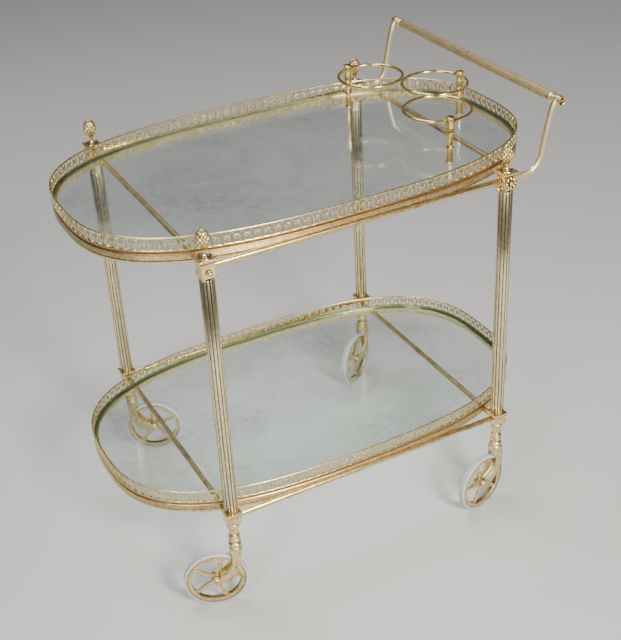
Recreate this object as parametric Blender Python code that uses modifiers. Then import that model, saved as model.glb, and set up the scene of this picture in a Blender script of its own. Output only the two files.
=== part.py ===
"""Two-tier brass and glass bar cart on four swivelling casters, with a bottle rack and a push handle.

Metres, +Z up. The origin is on the floor, midway between the four posts. +X points to the handle end.
"""

import math

import bmesh
import bpy
from mathutils import Vector

# Posts and tiers
post_spacing_x = 0.480
post_spacing_y = 0.445
post_radius = 0.0108
flute_depth = 0.0013
flute_count = 12
post_bore_radius = 0.0082
spigot_length = 0.0120
spigot_sides = 16
post_length = 0.4004
gap = 0.0003
sink = 0.0020

# Corner blocks
block_half = 0.0112
block_lip_half = 0.0126
block_lip_height = 0.0032
upper_block_height = 0.0310
block_foot_height = 0.0040
block_foot_inset = 0.0010
dish_radius = 0.0110
dish_height = 0.0012
dish_edge = 0.0012
dish_recess = 0.0010
lower_block_height = 0.0215
lower_lip_height = 0.0022
cup_height = 0.0183
cup_rim_height = 0.0020
cup_foot_height = 0.0008
cup_foot_radius = 0.0068
button_radius = 0.0042
button_rise = 0.0118
knob_rise = 0.0040
rosette_radius = 0.0105
rosette_thickness = 0.0038
rosette_rise = 0.0145
lower_rosette_drop = 0.0155

# Finials, from the foot up
finial_height = 0.0404
cone_radius = 0.0105
finial_foot_radius = 0.0062
finial_neck_radius = 0.0028

# Rails and crossbars
rail_radius = 0.0044
upper_rail_rise = 0.0165
lower_rail_drop = 0.0105
crossbar_radius = 0.0042
handle_bar_outset = 0.0105
bar_clearance = 0.0005

# Oval trays
tray_overhang = 0.1215
tray_inset = 0.0105
tray_squareness = 2.8
upper_glass_rise = 0.0240
lower_glass_drop = 0.0078
glass_thickness = 0.0050
glass_fit = 0.0004
rim_height = 0.0180
rim_wall = 0.0022
ledge_width = 0.0060
ledge_thickness = 0.0015
gallery_height = 0.0212
gallery_wall = 0.0012
oval_stations = 60

# Bottle rack on the upper glass
ring_radius = 0.0515
ring_wire_radius = 0.0025
leg_height = 0.0745
ring_drop = 0.0080
leg_cap_radius = 0.0070
rack_inset = 0.1015
rack_offset = 0.0010
back_ring_bearing = 127.5
front_ring_bearing = -120.5
leg_bearings = {"back": 107.0, "middle": 6.0, "front": -102.0}

# Push handle
arm_radius = 0.0045
arm_root_rise = 0.0155
arm_reach = 0.0755
arm_rise = 0.1045
arm_route = [
    (0, 0),
    (0.245, 0.007),
    (0.470, 0.043),
    (0.629, 0.163),
    (0.702, 0.378),
    (0.795, 0.703),
    (0.874, 0.904),
]
arm_end_inset = 0.0050
grip_radius = 0.0073
spindle_radius = 0.0032
collar_radius = 0.0083
collar_width = 0.0026
neck_length = 0.0064
eye_radius = 0.0074
eye_length = 0.0110
screw_radius = 0.0070
screw_height = 0.0030
slot_width = 0.0012

# Casters
wheel_radius = 0.0500
tyre_thickness = 0.0042
tyre_width = 0.0110
wheel_rim_width = 0.0090
wheel_rim_thickness = 0.0068
wheel_sides = 25
spoke_count = 5
spoke_width = 0.0060
spoke_thickness = 0.0042
hub_radius = 0.0080
hub_length = 0.0146
axle_radius = 0.0026
axle_head_radius = 0.0046
axle_head_height = 0.0018
hub_clearance = 0.0005
caster_trail = 0.0344
blade_thickness = 0.0024
blade_width = 0.0146
blade_root = 0.0130
blade_route = [(0, 0.85), (0.10, 0.47), (0.42, 0.16), (0.76, 0.03)]
stem_radius = 0.0090
stem_length = 0.0409
stem_profile = [(0.62, 0), (0.62, 0.09), (1.0, 0.127), (1.0, 0.379), (0.84, 0.428), (0.84, 0.465)]
crown_top_share = 0.518
crown_clearance = 0.0032
pin_radius = 0.0036
pin_length = 0.0110
caster_headings = {
    "front_left": 161.4,
    "front_right": 194.0,
    "back_left": 335.6,
    "back_right": 212.5,
}
spoke_phases = {
    "front_left": 35.0,
    "front_right": 4.0,
    "back_left": 20.0,
    "back_right": 50.0,
}

corners = {
    "front_left": (-1, -1),
    "front_right": (1, -1),
    "back_left": (-1, 1),
    "back_right": (1, 1),
}
half_x = post_spacing_x / 2
half_y = post_spacing_y / 2
tray_half_length = half_x + tray_overhang
tray_half_width = half_y - tray_inset
blade_gap = hub_length + 2 * hub_clearance
crown_radius = blade_gap / 2 + blade_thickness

# Heights, from the floor up
wheel_top_by_crown = wheel_radius + math.sqrt(wheel_radius**2 - (caster_trail - crown_radius) ** 2)
crown_bottom = wheel_top_by_crown + crown_clearance
stem_top = crown_bottom + stem_length
cup_bottom = stem_top + gap
lower_block_top = cup_bottom + cup_height + lower_block_height
post_bottom = lower_block_top + gap
post_top = post_bottom + post_length
upper_block_bottom = post_top + gap
lower_glass_top = lower_block_top - lower_glass_drop
upper_glass_top = upper_block_bottom + upper_glass_rise
arm_root = (half_x + block_half + gap, upper_block_bottom + arm_root_rise)
grip_x = arm_root[0] + arm_reach
grip_z = arm_root[1] + arm_rise


def clear_scene():
    for item in list(bpy.data.objects):
        bpy.data.objects.remove(item, do_unlink=True)


def new_collection(name):
    group = bpy.data.collections.new(name)
    bpy.context.scene.collection.children.link(group)
    return group


clear_scene()
cart = new_collection("bar_cart")
cutters = new_collection("cutters")


def material(name, colour, metallic, roughness):
    made = bpy.data.materials.new(name)
    made.use_nodes = True
    shader = made.node_tree.nodes["Principled BSDF"]
    shader.inputs["Base Color"].default_value = (*colour, 1.0)
    shader.inputs["Metallic"].default_value = metallic
    shader.inputs["Roughness"].default_value = roughness
    return made


brass = (0.72, 0.55, 0.27)
pale_brass = (0.78, 0.69, 0.46)
brown_brass = (0.50, 0.34, 0.15)
rubber_grey = (0.62, 0.64, 0.66)


def add(name, data, colour=brass, metallic=1.0, roughness=0.3, group=cart):
    """An object in a collection, with a material of its own."""
    item = bpy.data.objects.new(name, data)
    group.objects.link(item)
    if group is cart:
        data.materials.append(material(name, colour, metallic, roughness))
    else:
        item.hide_render = True
        item.display_type = "WIRE"
    return item


def place(item, at=(0, 0, 0), turn=(0, 0, 0), parent=None):
    item.location = at
    item.rotation_euler = [math.radians(angle) for angle in turn]
    item.parent = parent
    return item


def pivot(name, at=(0, 0, 0), turn=(0, 0, 0), parent=None):
    """An empty on a joint's axis."""
    item = bpy.data.objects.new(name, None)
    cart.objects.link(item)
    return place(item, at, turn, parent)


def turned(name, profile, steps=16, **options):
    """A profile of (radius, height) points, top to bottom, turned about its own Z axis."""
    mesh = bpy.data.meshes.new(name)
    points = [(radius, 0.0, height) for radius, height in profile]
    edges = [(i, i + 1) for i in range(len(points) - 1)]
    mesh.from_pydata(points, edges, [])
    item = add(name, mesh, **options)
    screw = item.modifiers.new("turn", "SCREW")
    screw.steps = steps
    screw.render_steps = steps
    screw.use_merge_vertices = True
    screw.merge_threshold = 0.00005
    screw.use_smooth_shade = False
    return item


def turned_ring(name, section, steps, **options):
    """A closed section of (radius, height) points turned about its own Z axis."""
    return turned(name, section + section[:1], steps, **options)


def extruded(name, outline, thickness, hole=None, **options):
    """A flat outline, with a hole if one is given, standing half its thickness each side of its XY plane."""
    curve = bpy.data.curves.new(name, "CURVE")
    curve.dimensions = "2D"
    curve.fill_mode = "BOTH"
    curve.extrude = thickness / 2
    for loop in [outline] + ([hole] if hole else []):
        spline = curve.splines.new("POLY")
        spline.points.add(len(loop) - 1)
        for point, (x, y) in zip(spline.points, loop):
            point.co = (x, y, 0, 1)
        spline.use_cyclic_u = True
    return add(name, curve, **options)


def wire(name, points, radius, sides=2, **options):
    """A round rod along a list of points, with filled ends."""
    curve = bpy.data.curves.new(name, "CURVE")
    curve.dimensions = "3D"
    curve.bevel_depth = radius
    curve.bevel_resolution = sides
    curve.use_fill_caps = True
    spline = curve.splines.new("POLY")
    spline.points.add(len(points) - 1)
    for point, place_of in zip(spline.points, points):
        point.co = (*place_of, 1)
    return add(name, curve, **options)


def frozen(item):
    """Changes an object into a plain closed mesh of the same name, with no modifiers left."""
    bpy.context.view_layer.update()
    graph = bpy.context.evaluated_depsgraph_get()
    mesh = bpy.data.meshes.new_from_object(item.evaluated_get(graph))
    mesh.transform(item.matrix_world)
    weld(mesh)
    name = item.name
    bpy.data.objects.remove(item, do_unlink=True)
    made = bpy.data.objects.new(name, mesh)
    cart.objects.link(made)
    return made


def copy_of(item, name):
    """Another object that shares this one's mesh."""
    made = bpy.data.objects.new(name, item.data)
    cart.objects.link(made)
    return made


def weld(mesh):
    work = bmesh.new()
    work.from_mesh(mesh)
    bmesh.ops.remove_doubles(work, verts=work.verts, dist=0.00002)
    work.to_mesh(mesh)
    work.free()


def combine(item, other, operation):
    """Joins another solid to this one, or cuts it away, with a Boolean modifier."""
    change = item.modifiers.new(operation.lower(), "BOOLEAN")
    change.operation = operation
    change.object = other
    change.solver = "EXACT"
    return item


def rod(name, start, end, radius, sides=12, **options):
    """A straight round bar from one point to another."""
    line = Vector(end) - Vector(start)
    half = line.length / 2
    item = turned(name, [(0, half), (radius, half), (radius, -half), (0, -half)], sides, **options)
    item.location = (Vector(start) + Vector(end)) / 2
    item.rotation_euler = line.to_track_quat("Z", "Y").to_euler()
    return item


def box(name, size, at, turn=(0, 0, 0), **options):
    mesh = bpy.data.meshes.new(name)
    work = bmesh.new()
    bmesh.ops.create_cube(work, size=1.0)
    bmesh.ops.scale(work, vec=size, verts=work.verts)
    work.to_mesh(mesh)
    work.free()
    return place(add(name, mesh, **options), at, turn)


def square_turned(name, profile, **options):
    """A square column whose half width follows a profile of (half width, height) points, top to bottom."""
    corner = math.sqrt(2)
    item = turned(name, [(half * corner, height) for half, height in profile], 4, **options)
    item.rotation_euler.z = math.radians(45)
    return item


def smooth_route(route, per_span):
    """Points on a Catmull-Rom curve through the route's own points."""
    ends = [2 * Vector(route[0]) - Vector(route[1]), 2 * Vector(route[-1]) - Vector(route[-2])]
    knots = [ends[0]] + [Vector(point) for point in route] + [ends[1]]
    points = []
    for a, b, c, d in zip(knots, knots[1:], knots[2:], knots[3:]):
        for step in range(per_span):
            t = step / per_span
            flat = 2 * b + (c - a) * t
            bent = (2 * a - 5 * b + 4 * c - d) * t**2 + (3 * b - a - 3 * c + d) * t**3
            points.append((flat + bent) / 2)
    return points + [knots[-2]]


def oval_outline(inset):
    """The tray's oval, as evenly spaced points, each moved inwards by the inset along its normal."""
    power = 2 / tray_squareness
    dense = []
    count = 4000
    for step in range(count + 1):
        turn = 2 * math.pi * step / count
        c = math.cos(turn)
        s = math.sin(turn)
        x = tray_half_length * math.copysign(abs(c) ** power, c)
        y = tray_half_width * math.copysign(abs(s) ** power, s)
        dense.append(Vector((x, y)))
    lengths = [0.0]
    for a, b in zip(dense, dense[1:]):
        lengths.append(lengths[-1] + (b - a).length)
    outline = []
    at = 0
    for station in range(oval_stations):
        wanted = lengths[-1] * station / oval_stations
        while lengths[at + 1] < wanted:
            at += 1
        share = (wanted - lengths[at]) / (lengths[at + 1] - lengths[at])
        point = dense[at].lerp(dense[at + 1], share)
        slope_x = math.copysign(abs(point.x / tray_half_length) ** (tray_squareness - 1), point.x)
        slope_y = math.copysign(abs(point.y / tray_half_width) ** (tray_squareness - 1), point.y)
        normal = Vector((slope_x / tray_half_length, slope_y / tray_half_width)).normalized()
        outline.append(point - normal * inset)
    return outline


def oval_ring(name, section, **options):
    """A band round the tray's oval. The section is a closed list of (inset, height) points."""
    mesh = bpy.data.meshes.new(name)
    loops = [oval_outline(inset) for inset, height in section]
    verts = []
    for station in range(oval_stations):
        for loop, (inset, height) in zip(loops, section):
            verts.append((*loop[station], height))
    size = len(section)
    faces = []
    for station in range(oval_stations):
        after = (station + 1) % oval_stations
        for i in range(size):
            j = (i + 1) % size
            faces.append((station * size + i, station * size + j, after * size + j, after * size + i))
    mesh.from_pydata(verts, [], faces)
    return add(name, mesh, **options)


def at_corner(corner):
    side_x, side_y = corners[corner]
    return side_x * half_x, side_y * half_y


def make_posts():
    """Fluted tubes that fit over a spigot on the block at each end."""
    outline = []
    points_per_flute = 4
    for step in range(flute_count * points_per_flute):
        turn = 2 * math.pi * step / (flute_count * points_per_flute)
        radius = post_radius - flute_depth * (1 - math.cos(turn * flute_count)) / 2
        outline.append((radius * math.cos(turn), radius * math.sin(turn)))
    bore = []
    for step in range(spigot_sides):
        turn = 2 * math.pi * step / spigot_sides
        bore.append((post_bore_radius * math.cos(turn), post_bore_radius * math.sin(turn)))
    for corner in corners:
        post = extruded(f"post_{corner}", outline, post_length, bore, colour=pale_brass)
        place(post, (*at_corner(corner), (post_top + post_bottom) / 2))


def make_upper_blocks():
    """Square blocks with a flared lip, a dish on top, and a button or a knob on the side."""
    top = upper_block_height
    body = [
        (0, top),
        (block_lip_half, top),
        (block_lip_half, top - block_lip_height),
        (block_half, top - 2 * block_lip_height),
        (block_half, block_foot_height),
        (block_half - block_foot_inset, 0),
        (0, 0),
    ]
    dish = [
        (0, top + dish_height - dish_recess),
        (dish_radius - dish_edge - dish_recess, top + dish_height - dish_recess),
        (dish_radius - dish_edge, top + dish_height),
        (dish_radius, top + dish_height - dish_edge),
        (dish_radius - dish_edge, top - sink),
        (0, top - sink),
    ]
    ball = [(button_radius * math.sin(a), button_radius * math.cos(a)) for a in half_circle(6)]
    patterns = {}
    for side, ball_at in (
        (-1, (0, -block_half, button_rise)),
        (1, (-block_half, 0, knob_rise)),
    ):
        block = square_turned(f"upper_block_pattern_{side}", body, colour=pale_brass)
        combine(block, turned("dish_cutter", dish, 16, group=cutters), "UNION")
        knob = turned("button_cutter", ball, 10, group=cutters)
        combine(block, place(knob, ball_at, (90, 0, 0)), "UNION")
        add_spigot(block, sink, -spigot_length)
        patterns[side] = frozen(block)
    for corner, (side_x, side_y) in corners.items():
        block = copy_of(patterns[side_x], f"upper_block_{corner}")
        turn = 180 if side_x < 0 < side_y else 0
        place(block, (*at_corner(corner), upper_block_bottom), (0, 0, turn))
    for pattern in patterns.values():
        bpy.data.objects.remove(pattern, do_unlink=True)


def add_spigot(block, top, bottom):
    """Joins the plug that fits inside the post's tube to a block."""
    radius = post_bore_radius - gap
    profile = [(0, top), (radius, top), (radius, bottom), (0, bottom)]
    combine(block, turned("spigot_cutter", profile, spigot_sides, group=cutters), "UNION")


def half_circle(steps):
    return [math.pi * step / steps for step in range(steps + 1)]


def make_finials():
    cone = [
        (0, finial_height),
        (0.42 * cone_radius, 0.955 * finial_height),
        (0.74 * cone_radius, 0.84 * finial_height),
        (0.95 * cone_radius, 0.69 * finial_height),
        (cone_radius, 0.55 * finial_height),
        (0.86 * cone_radius, 0.43 * finial_height),
        (0.50 * cone_radius, 0.32 * finial_height),
        (finial_neck_radius, 0.28 * finial_height),
        (finial_neck_radius, 0.18 * finial_height),
        (0.62 * finial_foot_radius, 0.10 * finial_height),
        (finial_foot_radius, 0.04 * finial_height),
        (finial_foot_radius, 0),
        (0, 0),
    ]
    base = upper_block_bottom + upper_block_height + dish_height - dish_recess + gap
    for corner in corners:
        place(turned(f"finial_{corner}", cone, 12, colour=pale_brass), (*at_corner(corner), base))


def make_lower_blocks():
    """Square blocks over a round cup, bored from below for the caster's pin; two have a rosette."""
    body = [
        (0, 0),
        (block_lip_half, 0),
        (block_lip_half, -lower_lip_height),
        (block_half, -2.5 * lower_lip_height),
        (block_half, -lower_block_height),
        (0, -lower_block_height),
    ]
    foot = -lower_block_height - cup_height
    cup = [
        (0, -lower_block_height + sink),
        (block_half, -lower_block_height + sink),
        (block_half, -lower_block_height - cup_rim_height),
        (0.86 * block_half, -lower_block_height - 0.50 * cup_height),
        (cup_foot_radius, foot + cup_foot_height),
        (cup_foot_radius, foot),
        (0, foot),
    ]
    depth = pin_length + 2 * gap
    bore = pin_radius + gap
    hole = [(0, foot + depth), (bore, foot + depth), (bore, foot - sink), (0, foot - sink)]
    patterns = {}
    for side in (-1, 1):
        block = square_turned(f"lower_block_pattern_{side}", body, colour=pale_brass)
        combine(block, turned("cup_cutter", cup, 16, group=cutters), "UNION")
        add_spigot(block, spigot_length, -sink)
        combine(block, turned("pin_hole_cutter", hole, 12, group=cutters), "DIFFERENCE")
        if side > 0:
            rosette = turned("rosette_cutter", rosette_profile(), 16, group=cutters)
            place(rosette, (block_half - gap, 0, -lower_rosette_drop), (0, 90, 0))
            combine(block, rosette, "UNION")
        patterns[side] = frozen(block)
    for corner, (side_x, side_y) in corners.items():
        block = copy_of(patterns[side_x], f"lower_block_{corner}")
        place(block, (*at_corner(corner), lower_block_top))
    for pattern in patterns.values():
        bpy.data.objects.remove(pattern, do_unlink=True)


def make_rails():
    """Two long rails a tier, from block to block, under the blocks' lips."""
    reach = half_x - block_half - gap
    tiers = (("upper", upper_block_bottom + upper_rail_rise), ("lower", lower_block_top - lower_rail_drop))
    for tier, height in tiers:
        for side, y in (("front", -half_y), ("back", half_y)):
            rod(f"{tier}_rail_{side}", (-reach, y, height), (reach, y, height), rail_radius)


def crossbar_height(glass_top):
    return glass_top - glass_thickness - gap - crossbar_radius


def crossbars():
    """Each tier's crossbars: name, x, height and how far it reaches along Y."""
    at_blocks = half_y - block_half - gap
    at_arms = half_y - arm_radius - gap
    upper = crossbar_height(upper_glass_top)
    lower = crossbar_height(lower_glass_top)
    return [
        ("upper", "upper_crossbar_left", -half_x, upper, at_blocks),
        ("upper", "upper_crossbar_right", arm_root[0] + handle_bar_outset, upper, at_arms),
        ("lower", "lower_crossbar_left", -half_x, lower, at_blocks),
        ("lower", "lower_crossbar_right", half_x, lower, at_blocks),
    ]


def make_crossbars():
    for tier, name, x, height, reach in crossbars():
        rod(name, (x, -reach, height), (x, reach, height), crossbar_radius, colour=brown_brass)


def make_tray(tier, glass_top):
    """A rim with a ledge under the glass, the glass, and the gallery that stands on the rim."""
    bottom = glass_top - rim_height
    ledge_top = glass_top - glass_thickness - gap
    ledge_bottom = ledge_top - ledge_thickness
    ledge_reach = rim_wall + ledge_width
    section = [
        (0, glass_top),
        (0, bottom),
        (rim_wall, bottom),
        (rim_wall, ledge_bottom),
        (ledge_reach, ledge_bottom),
        (ledge_reach, ledge_top),
        (rim_wall, ledge_top),
        (rim_wall, glass_top),
    ]
    rim = oval_ring(f"{tier}_rim", section)
    for bar_tier, name, x, height, reach in crossbars():
        if bar_tier == tier:
            ends = (x, -reach, height), (x, reach, height)
            bar = rod(f"{name}_cutter", *ends, crossbar_radius + bar_clearance, group=cutters)
            combine(rim, bar, "DIFFERENCE")
    frozen(rim)
    pane = [tuple(point) for point in oval_outline(rim_wall + glass_fit)]
    glass = extruded(f"{tier}_glass", pane, glass_thickness, colour=(0.80, 0.88, 0.85), metallic=0.0)
    place(glass, (0, 0, glass_top - glass_thickness / 2))
    foot = glass_top + gap
    head = foot + gallery_height
    oval_ring(f"{tier}_gallery", [(0, head), (0, foot), (gallery_wall, foot), (gallery_wall, head)])


def ring_centres():
    spread = 2 * (ring_radius + ring_wire_radius) + gap
    middle = Vector((tray_half_length - rack_inset, rack_offset))
    centres = {"middle": middle}
    for name, bearing in (("back", back_ring_bearing), ("front", front_ring_bearing)):
        turn = math.radians(bearing)
        centres[name] = middle + spread * Vector((math.cos(turn), math.sin(turn)))
    return centres


def make_bottle_rack():
    """Three open rings of wire, each fixed to the top of its own turned leg."""
    leg_profile = [
        (0, 1.0),
        (0.93, 1.0),
        (1.0, 0.975),
        (1.0, 0.945),
        (0.90, 0.925),
        (0.90, 0.75),
        (0.76, 0.735),
        (0.88, 0.67),
        (0.86, 0.58),
        (0.62, 0.40),
        (0.84, 0.345),
        (0.70, 0.31),
        (0.84, 0.08),
        (0.93, 0.02),
        (0.93, 0),
        (0, 0),
    ]
    profile = [(share * leg_cap_radius, rise * leg_height) for share, rise in leg_profile]
    base = upper_glass_top + gap
    arc_points = 30
    for name, centre in ring_centres().items():
        bearing = math.radians(leg_bearings[name])
        start = (leg_cap_radius + 2 * gap) / ring_radius
        points = []
        for step in range(arc_points + 1):
            turn = bearing + start + (2 * math.pi - 2 * start) * step / arc_points
            points.append((ring_radius * math.cos(turn), ring_radius * math.sin(turn), 0))
        ring = wire(f"bottle_ring_{name}", points, ring_wire_radius, sides=1)
        place(ring, (*centre, base + leg_height - ring_drop))
        leg = turned(f"rack_leg_{name}", profile, 10)
        foot = centre + ring_radius * Vector((math.cos(bearing), math.sin(bearing)))
        place(leg, (*foot, base))


def make_handle():
    """Two bent arms with an eye at the top, a reeded grip between them, and a slotted screw in each eye."""
    route = [(arm_root[0] + arm_reach * x, arm_root[1] + arm_rise * z) for x, z in arm_route]
    route.append((grip_x - arm_end_inset, grip_z))
    points = smooth_route([(x, 0, z) for x, z in route], 2)
    for side, y in (("front", -half_y), ("back", half_y)):
        arm = wire(f"handle_arm_{side}", points, arm_radius, colour=brown_brass)
        arm = frozen(place(arm, (0, y, 0)))
        half = eye_length / 2
        ends = (grip_x, y - half, grip_z), (grip_x, y + half, grip_z)
        combine(arm, rod(f"eye_{side}_cutter", *ends, eye_radius, 16, group=cutters), "UNION")
        outward = -1 if side == "front" else 1
        make_handle_screw(side, y + outward * (half + gap), outward)
    make_grip()


def make_grip():
    end = half_y - eye_length / 2 - gap
    collar_end = end - neck_length
    profile = [
        (0, end),
        (spindle_radius, end),
        (0.70 * grip_radius, collar_end),
        (collar_radius, collar_end),
        (collar_radius, collar_end - collar_width),
        (grip_radius, collar_end - collar_width),
    ]
    below = [(radius, -height) for radius, height in reversed(profile)]
    grip = turned("handle_grip", profile + below, 16, colour=brown_brass)
    place(grip, (grip_x, 0, grip_z), (90, 0, 0))


def make_handle_screw(side, y, outward):
    dome = [
        (0, screw_height),
        (0.62 * screw_radius, 0.86 * screw_height),
        (0.92 * screw_radius, 0.50 * screw_height),
        (screw_radius, 0),
        (0, 0),
    ]
    screw = turned(f"handle_screw_{side}", dome, 16, colour=pale_brass)
    turn = (-90 * outward, 0, 0)
    place(screw, (grip_x, y, grip_z), turn)
    slot_size = (2.5 * screw_radius, slot_width, screw_height)
    slot = box(f"slot_{side}_cutter", slot_size, (0, 0, screw_height), group=cutters)
    slot.parent = screw
    combine(screw, slot, "DIFFERENCE")


def rosette_profile():
    return [
        (0, rosette_thickness),
        (0.30 * rosette_radius, 0.95 * rosette_thickness),
        (0.85 * rosette_radius, 0.72 * rosette_thickness),
        (rosette_radius, 0.30 * rosette_thickness),
        (rosette_radius, 0),
        (0, 0),
    ]


def make_rosettes():
    height = upper_block_bottom + rosette_rise
    for side, outward in (("front", -1), ("back", 1)):
        rosette = turned(f"rosette_{side}", rosette_profile(), 16, colour=pale_brass)
        place(rosette, (half_x, outward * (half_y + block_half + gap), height), (-90 * outward, 0, 0))


def blade_outline():
    """One fork blade, seen along the axle: down from the crown and round to the eye at the hub."""
    eye = Vector((caster_trail, wheel_radius))
    drop = crown_bottom - wheel_radius
    route = [(0, crown_bottom + blade_root)]
    route += [(caster_trail * x, wheel_radius + drop * z) for x, z in blade_route]
    route.append(tuple(eye))
    centre = [Vector(point).to_2d() for point in smooth_route([(x, z, 0) for x, z in route], 2)]
    left = []
    right = []
    for i, point in enumerate(centre):
        along = (centre[min(i + 1, len(centre) - 1)] - centre[max(i - 1, 0)]).normalized()
        side = Vector((-along.y, along.x)) * blade_width / 2
        left.append(point + side)
        right.append(point - side)
    along = (centre[-1] - centre[-2]).normalized()
    start = math.atan2(along.x, -along.y)
    cap = []
    cap_steps = 6
    for step in range(1, cap_steps):
        turn = start - math.pi * step / cap_steps
        cap.append(eye + Vector((math.cos(turn), math.sin(turn))) * blade_width / 2)
    return [tuple(point) for point in left + cap + right[::-1]]


def fork_pattern():
    """A caster fork: the pin, the turned stem, the crown and two blades, drilled for the axle."""
    profile = [(0, stem_top + pin_length), (pin_radius, stem_top + pin_length), (pin_radius, stem_top)]
    profile += [(share * stem_radius, stem_top - drop * stem_length) for share, drop in stem_profile]
    profile += [
        (crown_radius, stem_top - crown_top_share * stem_length),
        (crown_radius, crown_bottom),
        (0, crown_bottom),
    ]
    fork = turned("fork_pattern", profile, 12)
    outline = blade_outline()
    middle = blade_gap / 2 + blade_thickness / 2
    for side in (-1, 1):
        blade = extruded(f"blade_{side}_cutter", outline, blade_thickness, group=cutters)
        blade = frozen_cutter(place(blade, (0, side * middle, 0), (90, 0, 0)))
        combine(fork, blade, "UNION")
    reach = blade_gap
    ends = (caster_trail, -reach, wheel_radius), (caster_trail, reach, wheel_radius)
    combine(fork, rod("axle_hole_cutter", *ends, axle_radius + gap, group=cutters), "DIFFERENCE")
    return frozen(fork)


def frozen_cutter(item):
    made = frozen(item)
    cart.objects.unlink(made)
    cutters.objects.link(made)
    made.hide_render = True
    made.display_type = "WIRE"
    return made


def wheel_pattern():
    """Hub, spokes and rim in one casting, about its own Z axis."""
    outer = wheel_radius - tyre_thickness
    inner = outer - wheel_rim_thickness
    half_rim = wheel_rim_width / 2
    bore = axle_radius + gap
    half_hub = hub_length / 2
    rim = [(inner, half_rim), (outer, half_rim), (outer, -half_rim), (inner, -half_rim)]
    hub = [(bore, half_hub), (hub_radius, half_hub), (hub_radius, -half_hub), (bore, -half_hub)]
    wheel = turned_ring("wheel_pattern", rim, wheel_sides)
    combine(wheel, turned_ring("hub_cutter", hub, 15, group=cutters), "UNION")
    inside = (bore + hub_radius) / 2
    outside = (inner + outer) / 2
    for spoke in range(spoke_count):
        turn = 360 * spoke / spoke_count
        middle = (inside + outside) / 2
        at = (middle * math.cos(math.radians(turn)), middle * math.sin(math.radians(turn)), 0)
        size = (outside - inside, spoke_width, spoke_thickness)
        combine(wheel, box(f"spoke_{spoke}_cutter", size, at, (0, 0, turn), group=cutters), "UNION")
    return frozen(wheel)


def tyre_section():
    inner = wheel_radius - tyre_thickness + gap
    half = tyre_width / 2
    shoulder = 0.0016
    return [
        (inner, half),
        (wheel_radius - shoulder, half),
        (wheel_radius, half - shoulder),
        (wheel_radius, -half + shoulder),
        (wheel_radius - shoulder, -half),
        (inner, -half),
    ]


def axle_profile():
    shoulder = blade_gap / 2 + blade_thickness + gap
    end = shoulder + axle_head_height
    profile = [(0, end), (axle_head_radius, end), (axle_head_radius, shoulder), (axle_radius, shoulder)]
    return profile + [(radius, -height) for radius, height in reversed(profile)]


def make_casters():
    fork = fork_pattern()
    wheel = wheel_pattern()
    for corner, heading in caster_headings.items():
        swivel = pivot(f"swivel_axis_{corner}", (*at_corner(corner), 0), (0, 0, heading))
        copy_of(fork, f"caster_fork_{corner}").parent = swivel
        hub = pivot(f"wheel_axis_{corner}", (caster_trail, 0, wheel_radius), (90, 0, 0), swivel)
        turned(f"axle_{corner}", axle_profile(), 12).parent = hub
        turn = (0, 0, spoke_phases[corner])
        place(copy_of(wheel, f"wheel_{corner}"), (0, 0, 0), turn, hub)
        rubber = {"colour": rubber_grey, "metallic": 0.0, "roughness": 0.7}
        tyre = turned_ring(f"tyre_{corner}", tyre_section(), wheel_sides, **rubber)
        place(tyre, (0, 0, 0), turn, hub)
    bpy.data.objects.remove(fork, do_unlink=True)
    bpy.data.objects.remove(wheel, do_unlink=True)


make_posts()
make_upper_blocks()
make_finials()
make_lower_blocks()
make_rails()
make_crossbars()
make_tray("upper", upper_glass_top)
make_tray("lower", lower_glass_top)
make_bottle_rack()
make_handle()
make_rosettes()
make_casters()
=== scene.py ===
import math
import bpy
import bmesh
import numpy as np
from mathutils import Matrix, Vector
from mathutils.geometry import tessellate_polygon


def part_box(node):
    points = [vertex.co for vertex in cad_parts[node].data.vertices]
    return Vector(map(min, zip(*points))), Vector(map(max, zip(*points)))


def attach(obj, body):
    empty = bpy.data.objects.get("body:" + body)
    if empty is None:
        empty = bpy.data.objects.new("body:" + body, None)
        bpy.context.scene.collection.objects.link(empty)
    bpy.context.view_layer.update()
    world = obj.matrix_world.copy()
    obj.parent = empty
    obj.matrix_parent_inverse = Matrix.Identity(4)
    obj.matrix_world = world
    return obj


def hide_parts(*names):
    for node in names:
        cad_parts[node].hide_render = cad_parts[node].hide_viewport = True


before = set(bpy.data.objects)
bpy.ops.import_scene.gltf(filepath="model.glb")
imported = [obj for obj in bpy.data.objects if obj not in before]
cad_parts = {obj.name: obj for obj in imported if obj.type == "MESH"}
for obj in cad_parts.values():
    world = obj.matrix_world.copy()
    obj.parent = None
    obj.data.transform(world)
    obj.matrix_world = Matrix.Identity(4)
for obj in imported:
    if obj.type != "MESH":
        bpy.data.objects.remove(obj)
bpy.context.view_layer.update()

gap = 0.0003  # between neighbouring pieces of the frame
axis = 0.00001  # a radius as good as nothing, where a turned outline meets its axis
corners = {"front_left": (-1, -1), "front_right": (1, -1), "back_left": (-1, 1), "back_right": (1, 1)}


# measuring the frame

def boxMiddle(node):
    low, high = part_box(node)
    return (low + high) / 2


def boxSize(node):
    low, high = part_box(node)
    return high - low


# camera, floor and light

studio = {
    "cameraAt": (-0.7327, -1.5235, 1.3554), "azimuth": -26.252, "elevation": 31.582, "roll": -3.234,
    "lens": 67.72, "sensor": 36.0, "floorHalf": 9.0, "floorColour": (0.66, 0.65, 0.64),
    "floorRoughness": 0.85, "skyColour": (0.60, 0.61, 0.63), "skyStrength": 0.20,
    "lampsAimAt": (0, 0, 0.35),
}
lamps = {
    "key": {"at": (0.1, -2.8, 2.1), "size": 0.8, "power": 132.0, "colour": (1.0, 0.97, 0.91)},
    "fill": {"at": (-2.2, -1.9, 2.2), "size": 1.0, "power": 40.0, "colour": (0.95, 0.97, 1.0)},
    "top": {"at": (-0.3, 0.9, 3.2), "size": 1.3, "power": 50.0, "colour": (1.0, 0.98, 0.95)},
}


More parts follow.
